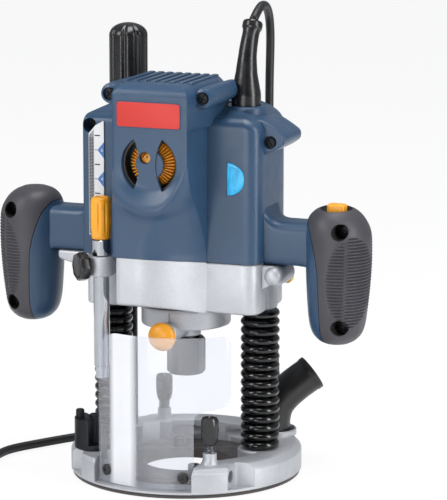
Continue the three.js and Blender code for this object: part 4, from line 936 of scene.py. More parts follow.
def make_shield():
    """Clear curved shield with a wing to the right, two screw bosses at its foot and a clip at its top."""
    outer = SHIELD_RADIUS + SHIELD_WALL
    left, right, wing = (outer * math.asin(x / outer) for x in (-41.3, 34.3, 56.8))
    sheet = bent_sheet("chip_shield_sheet", [
        (left, 4.9), (right, 4.9), (right, 56), (right + 4, 62.2, 5), (wing, 64.5, 10), (wing, 115.8, 8),
        (left + 14, 115.8, 6), (left, 106, 8)], SHIELD_RADIUS, SHIELD_WALL)
    fitted(painted(sheet, CLEAR), "base", "clear_shield", "chip_shield", crease=50)
    profile = [(0.01, -1.6), (4, -1.6), (4, 2.9), (3.2, 3.6), (1.2, 3.6), (1, 2.9), (0.01, 2.9)]
    bosses = []
    for x, z in ((-33, 14), (27, 14)):
        angle = math.asin(x / outer)
        out = (math.sin(angle), -math.cos(angle), 0)
        foot = (SHIELD_RADIUS * out[0], SHIELD_RADIUS * out[1], z)
        bosses.append(painted(turned("shield_screw", profile, foot, out, count=32), BLACK))
    lug = bent_sheet("clip", [(left + 1, 20), (left + 7, 20, 2), (left + 7, 46, 2), (left + 1, 46)],
                     SHIELD_RADIUS - 1.4, 1.2)
    return fitted(gathered("shield_fixings", [*bosses, painted(lug, BLACK)]), "base", "black_plastic")


def make_dust_port():
    """Bent spout with a lip, open all the way down to the base."""
    x, y, _ = PORT
    route = flowing([(x, y, 22.3), (x, y, 34.3), (x + 3, y + 2.5, 45.3), (x + 11, y + 9, 55.3),
                     (x + 24, y + 19, 66.3)], 1.5)
    outside = rings_along(route, lambda share: 13 + (0.5 if share > 0.94 else 0), 64)
    inside = rings_along(route, lambda share: 11 + (0.6 if share > 0.97 else 0), 64)
    spout = skin("dust_port_spout", outside + inside[::-1], looped=True)
    flange = tube("flange", 12.6, 14.9, 22.3, 26.2, (x, y, 0), edge=0.5)
    return fitted(painted(merged(spout, flange), BLACK), "base", "black_plastic", "dust_port")


# ------------------------------------------------------------------ head casting
CLAMP_DIRECTION = Vector((-0.7, -0.714, 0)).normalized()
DEPTH_ROD = (-45.2, -51, 0)
CLAMP_Z = 160
LOCK_BUTTON = (0, 0, 109.5)
LEVER = (44, 0, 150)


def make_casting():
    front, rear, half = -32, 40, 66.5
    casting = slab("casting", [(half, front, 12), (half, rear, 24), (-half, rear, 24), (-half, front, 8)],
                   126.5, 163.5, edge=1.6, steps=12)
    nose = turned("nose", [(0.01, 111), (31, 111), (32.4, 111.6), (32.8, 113), (32.8, 122), (33.4, 124.6),
                           (35, 126.3), (37.5, 127), (0.01, 127)], count=96)
    collar = turned("collar", [(0.01, 102), (10.2, 102), (10.8, 102.7), (10.8, 109.6), (12, 111), (14, 112),
                               (0.01, 112)], count=64)
    box_rings = [[(x, y, level - 9.5 * (170.3 - foot_height(y)) / 6.5) for x, y in foot_outline(inset)]
                 for inset, level in ((1.6, 136), (0.8, 136.3), (0.2, 137), (0, 138), (0, 160))]
    box_rings.append([(x, y, min(163.4, foot_height(y) - 0.3) if y > -32.6 else foot_height(y) - 0.3)
                      for x, y in foot_outline(0)])
    merged(casting,
           skin("front_box", box_rings),
           slab("web", [(-94, 155.5, 3), (-76, 151, 12), (-64, 145), (-60, 145), (-60, 161.7), (-94, 161.7)],
                -19, 7, "XZ", edge=1.5),
           *[rod("column_boss", 12.6, 126.5, 161.6, at, edge=1.4, count=96) for at in COLUMNS],
           slab("lobe_web", [(56, 161.6), (56, 143), (66, 143, 4), (76, 150.5), (76, 161.6)],
                -19.6, 5, "XZ", edge=1),
           turned("lobe", [(0.01, -24.6), (2.6, -24.2), (5, -22.9), (6.6, -20.8), (7.3, -18), (7.5, -14),
                           (7.5, 4), (6.6, 6.4), (0.01, 7)], (75.5, 0, 154.1), REARWARD, count=64),
           rod("rod_boss", 9.5, 152.5, 167, DEPTH_ROD, edge=0.9, count=64),
           block("rod_bridge", (-52.2, -51, 153.5), (-36.2, -28, 163.4), edge=0.8),
           rod("rod_lug", 11, 126.6, 163.4, HEIGHT_ROD, edge=1.4),
           nose, collar,
           rod("lock_boss", 7.5, -38, -10, (0, 0, 110), REARWARD, edge=0.8))
    clamp = (*DEPTH_ROD[:2], CLAMP_Z)
    bored(casting,
          drill(38, 145, 171, count=96),
          block("well", (-40, -32.3, 163.5), (40, -20, 171)),
          drill(17.3, 116, 146, count=64),
          drill(8.5, 101, 117),
          slab("well", foot_outline(4), 150, 175),
          *[drill(10.5, 125, 165, at, count=64) for at in COLUMNS],
          drill(6.3, 125, 165, HEIGHT_ROD),
          drill(6.1, 151, 168, DEPTH_ROD),
          drill(2.9, 4.8, 14, clamp, CLAMP_DIRECTION, count=32),
          drill(4.1, -40, -6, LOCK_BUTTON, REARWARD),
          drill(3.3, 30, 41, LEVER, REARWARD, count=32),
          slab("notch", [(-60, 120), (-47, 120), (-47, 133, 3), (-50, 137, 3), (-57, 137, 3), (-60, 133, 3)],
               -34, -26, "XZ"),
          slab("slit", [(18, 124), (24, 124), (24, 130, 1.5), (18, 130, 1.5)], -34, -27, "XZ"),
          block("seam", (-0.35, -34, 110), (0.35, -31.6, 124)))
    screw = painted(turned("web_screw", [(0.01, 0), (2.4, 0), (2.4, 1.4), (1.9, 1.9), (0.01, 1.9)],
                           (-53.5, -26.2, 131), (0, -1, 0), count=24), DARK_STEEL)
    return fitted(gathered("head_body", [painted(casting, CASTING), screw]), "head", "silver", "head_casting")


# ------------------------------------------------------------------ blue housing
HALF_WIDTH = 68
FRONT, REAR = -32, 46
BOX_HALF, BOX_FRONT = 29, -70
CROWN_TOP, CROWN_REAR = 295, 14
CROWN_PITCH = (7, 0, 0)
SEAM = -11.4
DIAL_Z = 238.4
DIAL = (0, 0, DIAL_Z)
RELIEF = (45, 5, 0)


def shoulder(x):
    """Height of the housing's top beside the crown: lower on the side of the lead."""
    reach = abs(x)
    near, far = (8, 7) if x > 0 else (3, 12)
    return 280 - near * min(reach, 44) / 44 - far * max(0, reach - 44) / 24


def side_shape(name, inset):
    """The broad part behind the dial box: straight walls under shoulders that fall away to the sides."""
    fillet = max(0.4, 7 - inset)
    low = 163.8 if not inset else 161

    def plan(shrink):
        total = inset + shrink
        left = inset + min(shrink, fillet) * 0.35 + max(0, shrink - fillet)
        corners = [(HALF_WIDTH - total, FRONT + total, max(0.6, 12 - total)),
                   (HALF_WIDTH - total, REAR - total, max(0.6, 34 - total)),
                   (-HALF_WIDTH + left, REAR - total, max(0.6, 34 - total)),
                   (-HALF_WIDTH + left, FRONT + total, max(0.6, 2.5 - total * 0.4))]
        return rounded(corners, 12)

    rings = []
    for share in (0, 0.25, 0.5, 0.75, 1):
        rings.append([(x, y, low + (shoulder(x) - inset - fillet - low) * share) for x, y in plan(0)])
    for step in range(1, 9):
        angle = math.pi / 2 * step / 8
        rings.append([(x, y, shoulder(x) - inset - fillet + fillet * math.sin(angle))
                      for x, y in plan(fillet * (1 - math.cos(angle)))])
    for extra in (4, 8, 12, 16, 20, 24):
        rings.append([(x, y, shoulder(x) - inset) for x, y in plan(fillet + extra)])
    rings.append([(x, y, shoulder(HALF_WIDTH) - inset) for x, y in plan(fillet + 28)])
    return skin(name, rings)


def box_edge(z):
    """How far back the dial box's right-hand edge lies at a height: it sweeps to the panel at the foot."""
    return BOX_FRONT + 38 * eased(min(1.0, max(0.0, (243 - z) / 76))) ** 0.9


def thumb_rest(x, z):
    """How far the shelf under the speed dial stands out of the face."""
    away = math.hypot(x - 1, z - DIAL_Z)
    below = max(0.0, (DIAL_Z - z) / max(away, 1))
    rise = eased((away - 16) / 16) * (1 - eased((away - 33) / 9))
    return 6.0 * rise * below ** 1.4


def crown_top(y):
    return CROWN_TOP - 10 * max(0.0, y) / CROWN_REAR


def foot_height(y):
    """Level of the joint between housing and casting, which falls as the face sweeps back."""
    return 170.3 - 6.5 * min(1.0, max(0.0, (y - BOX_FRONT) / 37))


def foot_outline(inset):
    """Plan of the dial box at the joint: flat at the left, sweeping back to the panel at the right."""
    left, right = -27 + inset, 29 - inset
    points = []
    for i in range(41):
        x = left + 4 + (right - left - 4) * i / 40
        points.append((x, BOX_FRONT + inset + (38 - inset) * (max(0.0, x + 12) / 41) ** 2))
    edge = BOX_FRONT + inset
    return points + [(right, -28), (left, -28), (left, edge + 4), (left + 1.2, edge + 1.2)]


def front_shape(name, inset, count=64):
    """Dial box and crown in one: a box below, wider and longer above the shoulders."""
    fillet = max(0.5, 9 - inset)

    def outline(z, shrink):
        total = inset + shrink
        crown = eased((z - 263) / 1.5)
        half = BOX_HALF + 4 * crown - total
        rear = -15 + (CROWN_REAR + 15) * crown - total
        face = BOX_FRONT + total
        narrow = BOX_HALF - total
        edge = min(box_edge(z) + total, -33)
        turn_from = narrow - 41 * min(1.0, (edge - face) / 38)
        turns_back = edge > face + 0.01
        points = []
        for i in range(count + 1):
            x = -narrow + 2.2 + (2 * narrow - 2.2) * i / count
            back = 0.0
            if turns_back and x > turn_from:
                back = (edge - face) * ((x - turn_from) / (narrow - turn_from)) ** 2
            out = 0 if inset or shrink > fillet * 0.7 else thumb_rest(x, z)
            points.append((x, face + back - out))
        points += [(half, -42 if crown > 0.5 else max(-42, edge)), (half, -12)]
        if crown > 0.02:
            corner = half - 3 * crown
            points += rounded([(half, -12), (corner, rear, 8 * crown), (-corner, rear, 8 * crown),
                               (-half, -12)], 8)[1:]
        else:
            points += [(half, rear)] * 9 + [(-half, rear)] * 9 + [(-half, -12)]
        points += [(-half, -42), (-narrow, face + 2.2), (-narrow + 0.65, face + 0.65)]
        return points

    rings = []
    for i in range(85):
        z = 170.3 + (CROWN_TOP - inset - fillet - 170.3) * i / 84
        drop = (1 - i / 84) * (1.5 if inset else 1)
        rings.append([(x, y, min(z - drop * (170.3 - foot_height(y)) - (2.5 * (1 - i / 84) if inset else 0),
                                 crown_top(y) - inset - fillet)) for x, y in outline(z, 0)])
    for step in range(1, 11):
        angle = math.pi / 2 * step / 10
        shrink = fillet * (1 - math.cos(angle))
        rings.append([(x, y, crown_top(y) - inset - fillet + fillet * math.sin(angle))
                      for x, y in outline(CROWN_TOP, shrink)])
    for extra in (3, 5.5, 8):
        rings.append([(x, y, crown_top(y) - inset) for x, y in outline(CROWN_TOP, fillet + extra)])
    return skin(name, rings)


CASE_SCREWS = ((-35.5, 285.5, -53.5, -3), (35.5, 285.5, -53.5, -3), (-62, 258, -20, 4), (72, 251, -15.5, 8))
GRIP_SCREWS = tuple((side * x, z, -14, 6) for _, side in SIDES for x, z in ((128, 191), (127.5, 121.5)))


def lens_outline(clearance):
    reach = 11.8 + clearance
    return [(44.6 - clearance + 1.1 * reach * math.cos(-math.pi / 2 + math.pi * i / 32),
             225 + reach * math.sin(-math.pi / 2 + math.pi * i / 32)) for i in range(33)]


def dial_window(centre, reach, height):
    """Crescent between the round dial opening and the bridge across it."""
    opening = turned("opening", [(0.01, BOX_FRONT - 6), (22.2, BOX_FRONT - 6), (21, BOX_FRONT + 1.2),
                                 (21, BOX_FRONT + 5), (0.01, BOX_FRONT + 5)], DIAL, REARWARD, count=96)
    angles = [2 * math.pi * i / 64 for i in range(64)]
    oval = [(centre + reach * math.cos(angle), DIAL_Z + height * math.sin(angle)) for angle in angles]
    return common(opening, slab("oval", oval, BOX_FRONT - 8, BOX_FRONT + 6, "XZ"))


def digit_way():
    """Round window in the bridge, through which one figure of the dial shows."""
    return turned("digit_way", [(0.01, BOX_FRONT - 1), (5, BOX_FRONT - 1), (4, BOX_FRONT + 0.8),
                                (4, BOX_FRONT + 6), (0.01, BOX_FRONT + 6)], (-3.2, 0, DIAL_Z + 4.7), REARWARD)


def make_housing():
    shell = merged(side_shape("housing", 0), front_shape("box", 0))
    ears = []
    for x in (-35.5, 35.5):
        ears.append(turned("ear", [(0.01, -57), (4.8, -57), (6.6, -56.2), (7.4, -54), (7.6, -48), (7.2, -20),
                                   (6.6, 1), (0.01, 2)], (x, 0, 285.5), REARWARD, count=64))
    lug = cushion("lug", [(60, 239), (68, 241.5, 3), (77, 245.5, 5), (83.2, 250.3, 2.6), (83.2, 256, 2.6),
                          (76, 261, 5), (66, 266.5, 5), (60, 267)], -18.5, 17, edge=1.3)
    ring = turned("relief_seat", [(0.01, 262.5), (16.8, 262.5), (15.5, 266), (15.2, 268), (15.2, 272.4),
                                  (14.4, 273.5), (0.01, 273.5)], RELIEF, count=64)
    pillar = rod("pillar", 11, 163.8, 273.7, HEIGHT_ROD, edge=1, count=64)
    merged(shell, *ears, lug, ring, pillar)
    hollow = merged(side_shape("hollow", 3), front_shape("hollow_box", 3.2))
    keep_floor = [drill(11, 160, 300, HEIGHT_ROD),
                  drill(6.5, -31, 2, (-62, 0, 258), REARWARD),
                  turned("keep", [(0.01, 262), (14.6, 262), (14.6, 300), (0.01, 300)], RELIEF)]
    bored(hollow, *keep_floor)
    bored(shell, hollow)
    bores = []
    for x, z, face, tip in CASE_SCREWS:
        seat = [(0.01, face - 30), (6.4, face - 30), (4.9, face - 3), (4.9, face), (2.1, face),
                (2.1, tip + 0.3), (0.01, tip + 0.3)]
        bores.append(turned("seat", seat, (x, 0, z), REARWARD, count=40))
    slots = row_of("slots", slab("slot", oblong(-22.3, -40, -19.9, -4, 1.1), 284, 300), 7, BLUE, CROWN_PITCH)
    bored(shell,
          *bores, slots,
          drill(15.2, 273.7, 300, HEIGHT_ROD),
          drill(6.3, 150, 280, HEIGHT_ROD),
          drill(11.1, 265.7, 290, RELIEF),
          drill(4, 240, 266, RELIEF, count=24),
          slab("lens_way", lens_outline(0.3), FRONT - 1, FRONT + 6, "XZ"),
          digit_way(), dial_window(24, 19, 27), dial_window(-27, 19.5, 30))
    rib = cushion("rib", oblong(-26.6, -54, -22.6, -1, 1.4), 293, 295.8, "XY", edge=0.9)
    ribs = row_of("crown_ribs", rib, 8, BLUE, CROWN_PITCH)
    for name, low, high in (("front", -140, SEAM - 0.12), ("rear", SEAM + 0.12, 140)):
        half = shown("half", shell.data.copy())
        common(half, block("half", (-140, low, 100), (140, high, 360)))
        painted(half, BLUE)
        if name == "front":
            rim, floor = BOX_FRONT + 3.1, BOX_FRONT + 12.2
            # Black well behind the dial windows: a dark floor put there as painted shade, so that the opening
            # reads dark.
            well = turned("dial_well", [(4.2, floor), (19.4, floor), (19.4, rim), (20.8, rim),
                                        (20.8, floor + 0.8), (4.2, floor + 0.8)],
                          DIAL, REARWARD, count=72, looped=True)
            hub = rod("dial_hub", 10.6, BOX_FRONT + 0.9, BOX_FRONT + 3.3, DIAL, REARWARD, edge=0.5)
            bored(hub, digit_way())
            half = gathered("half", [half, ribs, painted(well, BLACK), painted(hub, BLUE)])
        half.name = "housing_shell_" + name
        fitted(half, "head", "housing_blue", "housing_" + name, crease=28)
    bpy.data.objects.remove(shell)


def make_case_screws():
    """The eight case screws, one pattern: a round head with a cross, at each seat."""
    unit = turned("case_screw", [(0.01, -2.6), (2.6, -2.6), (3.7, -2.0), (4.1, -0.9), (4.1, 0), (1.85, 0),
                                 (1.85, 20), (0.01, 20)], (0, 0, 0), REARWARD, count=32)
    long, narrow = 2.5, 0.45
    for x, z in ((long, narrow), (narrow, long)):
        bored(unit, block("cross", (-x, -3, -z), (x, -1.1, z)))
    pattern = Pattern("case_screw_pattern")
    source = pattern.ask("Screw", "Object", unit)
    shape = pattern.add("GeometryNodeObjectInfo", {"Object": source}).outputs["Geometry"]
    gather = pattern.add("GeometryNodeJoinGeometry")
    for i, (x, z, face, _) in enumerate(CASE_SCREWS + GRIP_SCREWS):
        place = pattern.ask(f"Seat {i + 1}", "Vector", in_metres((x, face, z)))
        point = pattern.add("GeometryNodePoints", {"Count": 1, "Position": place}).outputs[0]
        pattern.group.links.new(point, gather.inputs[0])
    turn = pattern.add("FunctionNodeRandomValue", {"Seed": 7}, data_type="FLOAT")
    spin = pattern.add("ShaderNodeCombineXYZ").inputs
    pattern.group.links.new(turn.outputs[1], spin["Y"])
    copies = pattern.add("GeometryNodeInstanceOnPoints", {
        "Points": gather.outputs[0], "Instance": shape, "Rotation": spin["Y"].node.outputs[0]}).outputs[0]
    screws = pattern.made("case_screws", copies, DARK_STEEL)
    bpy.data.objects.remove(unit)
    names = [f"housing_screw_{level}_{side}" for level in ("upper", "lower") for side in ("left", "right")]
    names += [f"grip_screw_{side}_{level}" for side in ("left", "right") for level in ("upper", "lower")]
    return fitted(screws, "head", "black_steel", *names)


# ------------------------------------------------------------------ handles and grips
GRIP_X, GRIP_Y = 119.5, -6
GRIP_LEVELS = [(107, 9, 10, 0), (109.5, 13.5, 15, 0), (115, 18, 20, 0), (125, 20.5, 23, 0),
               (147, 22.6, 25, 0.5), (169, 23.6, 25.5, 0.8), (187, 23.4, 24.8, 0.3), (197, 20.4, 21.6, -1),
               (203, 15, 16.6, -1.6), (206, 8.6, 9, -1.6)]
PARTING = [(113.5, 90), (113, 130), (112, 160), (110, 171), (107.5, 180), (104.5, 189), (100, 196.5),
           (88, 200.5)]
RIB_PITCH = 2.3


def grip_reading(column):
    """Smooth reading of one column of the grip's table at any height."""
    line = flowing([(row[column], 0, row[0]) for row in GRIP_LEVELS], 0.4)
    table = sorted((spot.z, spot.x) for spot in line)
    return lambda z: between(z, [(-1e3, table[0][1]), *table, (1e3, table[-1][1])])


GRIP_HALF_X, GRIP_HALF_Y, GRIP_SHIFT = (grip_reading(column) for column in (1, 2, 3))


def rib_depth(angle, z):
    """Depth of the finger grooves: a lens-shaped field at front and rear, split by a smooth band."""
    front = abs(math.degrees(math.atan2(-math.sin(angle), math.cos(angle))))
    field = 1 - ((front - 43) / 50) ** 2 - ((z - 154) / 34) ** 2
    if field <= 0:
        return 0.0
    band = eased(abs(front - 58) / 5)
    shift = 0.35 if front > 58 else 0
    groove = 0.5 + 0.5 * math.cos(2 * math.pi * (z / RIB_PITCH + shift))
    return 1.15 * eased(field / 0.1) * (0.3 + 0.7 * band) * groove ** 1.4


def grip_form(name, sign, ribbed):
    count = 120
    heights = [107 + 3 * (1 - math.cos(math.pi / 2 * i / 5)) for i in range(5)]
    step = RIB_PITCH / 7 if ribbed else 1.5
    heights += [110 + (202 - 110) * i / round(92 / step) for i in range(round(92 / step))]
    heights += [202 + 4 * math.sin(math.pi / 2 * i / 6) for i in range(7)]
    rings = []
    for z in heights:
        ring = []
        for i in range(count):
            angle = 2 * math.pi * i / count
            inward = rib_depth(angle, z) if ribbed else 0
            ring.append((sign * (GRIP_X + GRIP_SHIFT(z) + (GRIP_HALF_X(z) - inward) * math.cos(angle)),
                         GRIP_Y + (GRIP_HALF_Y(z) - inward) * math.sin(angle), z))
        rings.append(ring)
    return skin(name, rings)


def grip_room(sign):
    """Tools for the room inside a grip and, on the right, for the ways of the trigger and the lock button."""
    near, far = sorted((sign * 103, sign * 132))
    room = [block("cavity", (near, -15, 128), (far, 9, 186))]
    if sign > 0:
        room += [block("trigger_way", (106.7, 4, 141.7), (120.3, 34, 176.3)),
                 block("button_way", (111.4, -11.3, 180), (125.6, -0.7, 220))]
    return room


def grip_screw_places(sign):
    return [(x, 0, z) for x, z, _, _ in GRIP_SCREWS if x * sign > 0]


def parting_tool(sign, offset, outer=True):
    """Everything outboard of the parting line, or inboard of it."""
    far = [(88, 240), (180, 240), (180, 90)]
    if not outer:
        far = [(60, 199.5 + offset), (60, 80), (113.5 + offset, 80)]
    return slab("parting", [(sign * (x + offset), z + offset) for x, z in PARTING]
                + [(sign * x, z) for x, z in far], -70, 60, "XZ")


def arm_form(sign):
    """Arm of rounded section, flared where it leaves the body and where it enters the grip."""
    rings = []
    spans = [(68.05, 8.5), (69, 6.2), (70.5, 4), (73, 1.9), (76, 0.6), (80, 0), (92, 0), (98, 0.3),
             (102, 1.4), (105, 3.4), (107, 6), (109, 8)]
    for x, flare in spans:
        low, high = 162, 194 + flare * 1.1
        if x > 95:
            low, high = 162 - flare * 1.6, 194 + flare * 0.2
        near, far = -19.6, 8 + flare * 0.8
        section = rounded([(near, low, 7), (far, low, 7), (far, high, 8), (near, high, 8)], 8)
        rings.append([(sign * x, y, z) for y, z in section])
    return skin("arm", rings)


def make_handle(side, sign):
    """Blue inner half of the handle with its arm."""
    handle = common(grip_form("handle", sign, False), parting_tool(sign, 0, outer=False))
    merged(handle, arm_form(sign))
    near, far = sorted((sign * 60, sign * 110))
    tools = grip_room(sign) + [block("wire_way", (near, -11, 172), (far, -1, 184)), parting_tool(sign, -0.05)]
    tools += [drill(5.4, -60, -13.7, at, REARWARD) for at in grip_screw_places(sign)]
    bored(handle, *tools)
    return fitted(painted(handle, BLUE), "head", "housing_blue", "handle_" + side, crease=38)


def make_grip(side, sign):
    """Rubber outer half, with grooves, two deep screw recesses and, on the right, a dished top."""
    screws = grip_screw_places(sign)
    grip = common(grip_form("grip", sign, True), parting_tool(sign, 0.35))
    cavity, *ways = grip_room(sign)
    recess = [(0.01, -60), (5.8, -60), (5.8, -30), (5.6, -25), (5.4, -13.7), (2.2, -13.7), (2.2, 7), (0.01, 7)]
    tools = [cavity, *[turned("recess", recess, at, REARWARD) for at in screws], *ways]
    if sign > 0:
        dish = turned("dish", [(0.01, -6.4), (6, -6), (9.4, -4.4), (11.4, -1.6), (12.4, 3), (0.01, 3)],
                      (118.5, 0, 204.6), count=64)
        for vertex in dish.data.vertices:
            vertex.co.y = vertex.co.y * (0.8 if vertex.co.y > 0 else 1.25) + GRIP_Y * MM
        tools.append(dish)
    bored(grip, *tools)
    painted(grip, RUBBER)
    # Faces inside the screw recesses take the near-black painted shade.
    grip.data.materials.append(RECESS_PAINTED_SHADE)
    for face in grip.data.polygons:
        centre = face.center / MM
        for x, _, z in screws:
            if math.hypot(centre.x - x, centre.z - z) < 5.9 and centre.y < 8:
                face.material_index = 1
    return fitted(grip, "head", "grip_rubber", "grip_" + side, crease=45)


def make_switch_pieces():
    button = slab("lock_button_cap", oblong(111.8, -10.9, 125.2, -1.1, 3.2), 190, 207.6, edge=1.3)
    fitted(painted(button, ORANGE), "lock_on_button", "orange_plastic", "lock_button")
    trigger = slab("trigger_bar", oblong(107.1, 142, 119.9, 176, 2.5), 8, 24, "XZ", edge=1.6)
    fitted(painted(trigger, BLACK), "trigger", "black_plastic", "trigger")


# ------------------------------------------------------------------ controls and plates on the head
TEETH = 42


def make_speed_dial():
    """Toothed cone on a wheel, with a ring of numbers that pass the round window."""
    face = BOX_FRONT + 4
    wheel = turned("wheel", [(0.01, face), (7.4, face), (8.0, face + 0.8), (15.6, face + 6.0),
                             (16.2, face + 6.6), (16.2, face + 7), (3, face + 7), (3, face + 15),
                             (0.01, face + 15)], DIAL, REARWARD, count=120)
    tooth = skin("tooth", [[(7.6, 1.4, -0.3), (7.6, -0.6, -0.16), (7.6, -0.6, 0.16), (7.6, 1.4, 0.3)],
                           [(15.6, 6.8, -0.85), (16.5, 3.6, -0.42), (16.5, 3.6, 0.42), (15.6, 6.8, 0.85)],
                           [(16.2, 7.0, -0.85), (17.0, 5.4, -0.42), (17.0, 5.4, 0.42), (16.2, 7.0, 0.85)]])
    teeth = row_of("dial_teeth", tooth, TEETH, ORANGE, start=(0, face, DIAL_Z),
                   turn_step=(0, 2 * math.pi / TEETH, 0))
    numbers = []
    for i in range(6):
        angle = math.radians(121.7 + 60 * i)
        numbers.append(lettering(str((i + 3) % 6 + 1), 3.6,
                                 (5.6 * math.cos(angle), face - 0.2, DIAL_Z + 5.6 * math.sin(angle)), INK))
    plate = rod("digit_plate", 7.3, face - 0.1, face + 0.3, DIAL, REARWARD, edge=0.05)
    # The cone under the teeth takes the darker orange, which is painted shade between the teeth.
    dial = gathered("speed_wheel_cone",
                    [painted(plate, ORANGE), painted(wheel, GAP_SHADE_ORANGE), teeth, *numbers])
    fitted(dial, "speed_wheel", "orange_plastic", "speed_dial")


def lettering(text, size, place, material, depth=0.15):
    """Figures that face the operator, as a thin closed mesh with its middle at the place given."""
    curve = bpy.data.curves.new("figures", "FONT")
    curve.body = text
    curve.size = size * MM
    curve.align_x, curve.align_y = "CENTER", "CENTER"
    curve.extrude = depth * MM
    holder = shown("figures", curve)
    mesh = live_copy(holder)
    bpy.data.objects.remove(holder)
    mesh.transform(Matrix.Translation(Vector(place) * MM) @ Matrix.Rotation(math.pi / 2, 4, "X"))
    return painted(shown("figures", mesh), material)


def make_lens():
    lens = slab("power_lens_window", lens_outline(0), FRONT - 0.6, FRONT + 3, "XZ", edge=0.4)
    groove = slab("groove", lens_outline(-2.6), FRONT - 1, FRONT - 0.35, "XZ")
    core = slab("core", lens_outline(-3.2), FRONT - 2, FRONT, "XZ")
    bored(lens, bored(groove, core))
    fitted(painted(lens, LENS), "head", "lens_cyan", "power_lens")


def make_scale():
    """White strip with a hatched column, ticks and blue pointers with their figures."""
    back, face = -32.3, -33.1
    first, step = 187.45, 10.6
    parts = []

    def printed(name, corners, material, proud=0.12):
        mark = slab(name, corners, face - proud, face + 0.2, "XZ")
        parts.append(painted(mark, material))

    def repeated(name, corners, count, pitch, material, sunk=0.2):
        mark = slab(name, corners, face - 0.12, face + sunk, "XZ")
        parts.append(row_of(name, mark, count, material, (0, 0, pitch)))

    strip = slab("strip", [(-62.4, 178), (-50.4, 178), (-50.4, 262), (-57, 258.4), (-62.4, 252)],
                 face, back, "XZ", edge=0.2)
    parts.append(painted(strip, WHITE))
    printed("column", [(-62.1, 178.6), (-58.2, 178.6), (-58.2, 255.5), (-62.1, 251)], GREY_INK, proud=0.06)
    repeated("fine_ticks", oblong(-62.1, 178.9, -58.2, 179.35), 67, step / 10, INK)
    for x in (-60.9, -59.5):
        printed("rule", oblong(x, 178.8, x + 0.22, 252), INK)
    repeated("main_ticks", oblong(-57.6, first - 0.45, -53.4, first + 0.45), 4, 2 * step, INK)
    repeated("short_ticks", oblong(-57.6, first + step - 0.25, -55.6, first + step + 0.25), 3, 2 * step, INK)
    repeated("pointers", [(-55.4, first + step), (-50.3, first + step - 6.05), (-50.3, first + step + 6.05)],
             3, 2 * step, BLUE_INK, sunk=0.25)
    for i in range(3):
        parts.append(lettering(str(2 * i + 2), 3.4, (-51.9, face - 0.14, first + step * (2 * i + 1)), WHITE))
    fitted(gathered("depth_scale_strip", parts), "head", "scale_white", "depth_scale")


def make_badge():
    """Bare red plate in a thin dark border."""
    border = slab("border", oblong(-24.5, 264.4, 24.5, 283.2, 2.8), BOX_FRONT - 0.45, BOX_FRONT + 0.3,
                  "XZ", edge=0.15)
    plate = slab("plate", oblong(-23.9, 265, 23.9, 282.6, 2.4), BOX_FRONT - 1.1, BOX_FRONT - 0.2,
                 "XZ", edge=0.35)
    edge_ink = surface("badge_border", "1c3c5c", 0.45, grain=1800, depth=0.01, mottle=0.05)
    badge = gathered("badge_plate_red", [painted(plate, RED), painted(border, edge_ink)])
    fitted(badge, "head", "red_plate", "badge_plate")


def make_lever():
    hub = turned("lever", [(0.01, 40.3), (6.4, 40.3), (7, 40.9), (7, 48.2), (6.2, 49), (3, 49), (2.4, 48),
                           (0.01, 48)], LEVER, REARWARD)
    arm = cushion("arm", [(42, 145), (56, 139.5, 4), (64, 136, 2.5), (67.5, 140, 2.5), (64, 147, 4),
                          (46, 156)], 42, 48, edge=1.2)
    pin = rod("pin", 3, 32, 42, LEVER, REARWARD)
    fitted(painted(merged(hub, arm, pin), YELLOW), "plunge_lever", "yellow_plastic", "plunge_lock_lever")


def make_lock_button():
    button = turned("spindle_lock_ball", [
        (0.01, -52), (3, -51.85), (5.8, -51.3), (8, -50.2), (9.6, -48.8), (10.4, -47.2), (10.4, -46.1),
        (9.6, -44.9), (8.4, -44.2), (7, -43.7), (3.8, -43.6), (3.8, -12.9), (3.4, -12.5), (0.01, -12.5)],
        LOCK_BUTTON, REARWARD, count=64)
    fitted(painted(button, ORANGE), "spindle_lock", "orange_plastic", "spindle_lock_button", crease=40)


def make_chuck():
    """Six-sided collet nut with turned ends over the slotted collet."""
    nut = turned("nut", [(9.9, 73.6), (12.4, 73.6), (14.25, 75.4), (14.25, 98.4), (12.6, 100.4),
                         (9.9, 100.4)], count=96, looped=True)
    hexagon = [(*polar(14.6, math.radians(60 * i + 30)), 0.8) for i in range(6)]
    common(nut, slab("hexagon", hexagon, 70, 104))
    fitted(painted(nut, DARK_STEEL), "spindle", "steel", "collet_nut")
    collet = turned("split_collet", [(6.35, 75.2), (7.9, 75.2), (8.4, 75.8), (9.5, 80), (9.5, 91.4),
                                     (6.35, 91.4)], count=64, looped=True)
    for turn in (0, 60, 120):
        slit = block("slit", (-12, -0.4, 74), (12, 0.4, 86))
        slit.data.transform(Matrix.Rotation(math.radians(turn), 4, "Z"))
        bored(collet, slit)
    fitted(painted(collet, STEEL), "spindle", "steel", "collet")


def make_armature():
    """Steel shaft with laminated core, copper end windings and commutator."""
    shaft = turned("armature_shaft", [(0.01, 92), (7, 92), (7.5, 92.6), (7.5, 93.4), (7.5, 185.4),
                                      (7.5, 186), (5, 186.2), (5, 275.5), (4.5, 276), (0.01, 276)],
                   count=64)
    core = rod("core", 27.5, 188, 236, edge=0.6, count=96)
    windings = turned("windings", [(0.01, 236), (21, 236), (15.4, 237.6), (14.4, 245.9), (0.01, 245.9)],
                      count=72)
    commutator = rod("commutator", 14, 246, 262, edge=0.5, count=72)
    parts = [painted(shaft, STEEL), painted(core, STEEL), painted(windings, COPPER),
             painted(commutator, COPPER)]
    fitted(gathered("armature_turned", parts), "spindle", "copper_winding", "armature")


def make_depth_rod():
    shaft = turned("depth_stop_rod", [
        (0.01, 76.5), (4, 76.5), (4.6, 77.1), (4.6, 85.3), (5.3, 85.5), (5.8, 86), (5.8, 86.8),
        (5.8, 120), (5.8, 150), (5.8, 166.9), (6.5, 167.2), (7, 167.7), (7, 168.6), (7, 177.6),
        (7, 178.4), (6.4, 179), (3, 179), (3, 196.6), (2.6, 197), (0.01, 197)], DEPTH_ROD, count=64)
    fitted(painted(shaft, CHROME), "depth_rod", "chrome", "depth_rod")


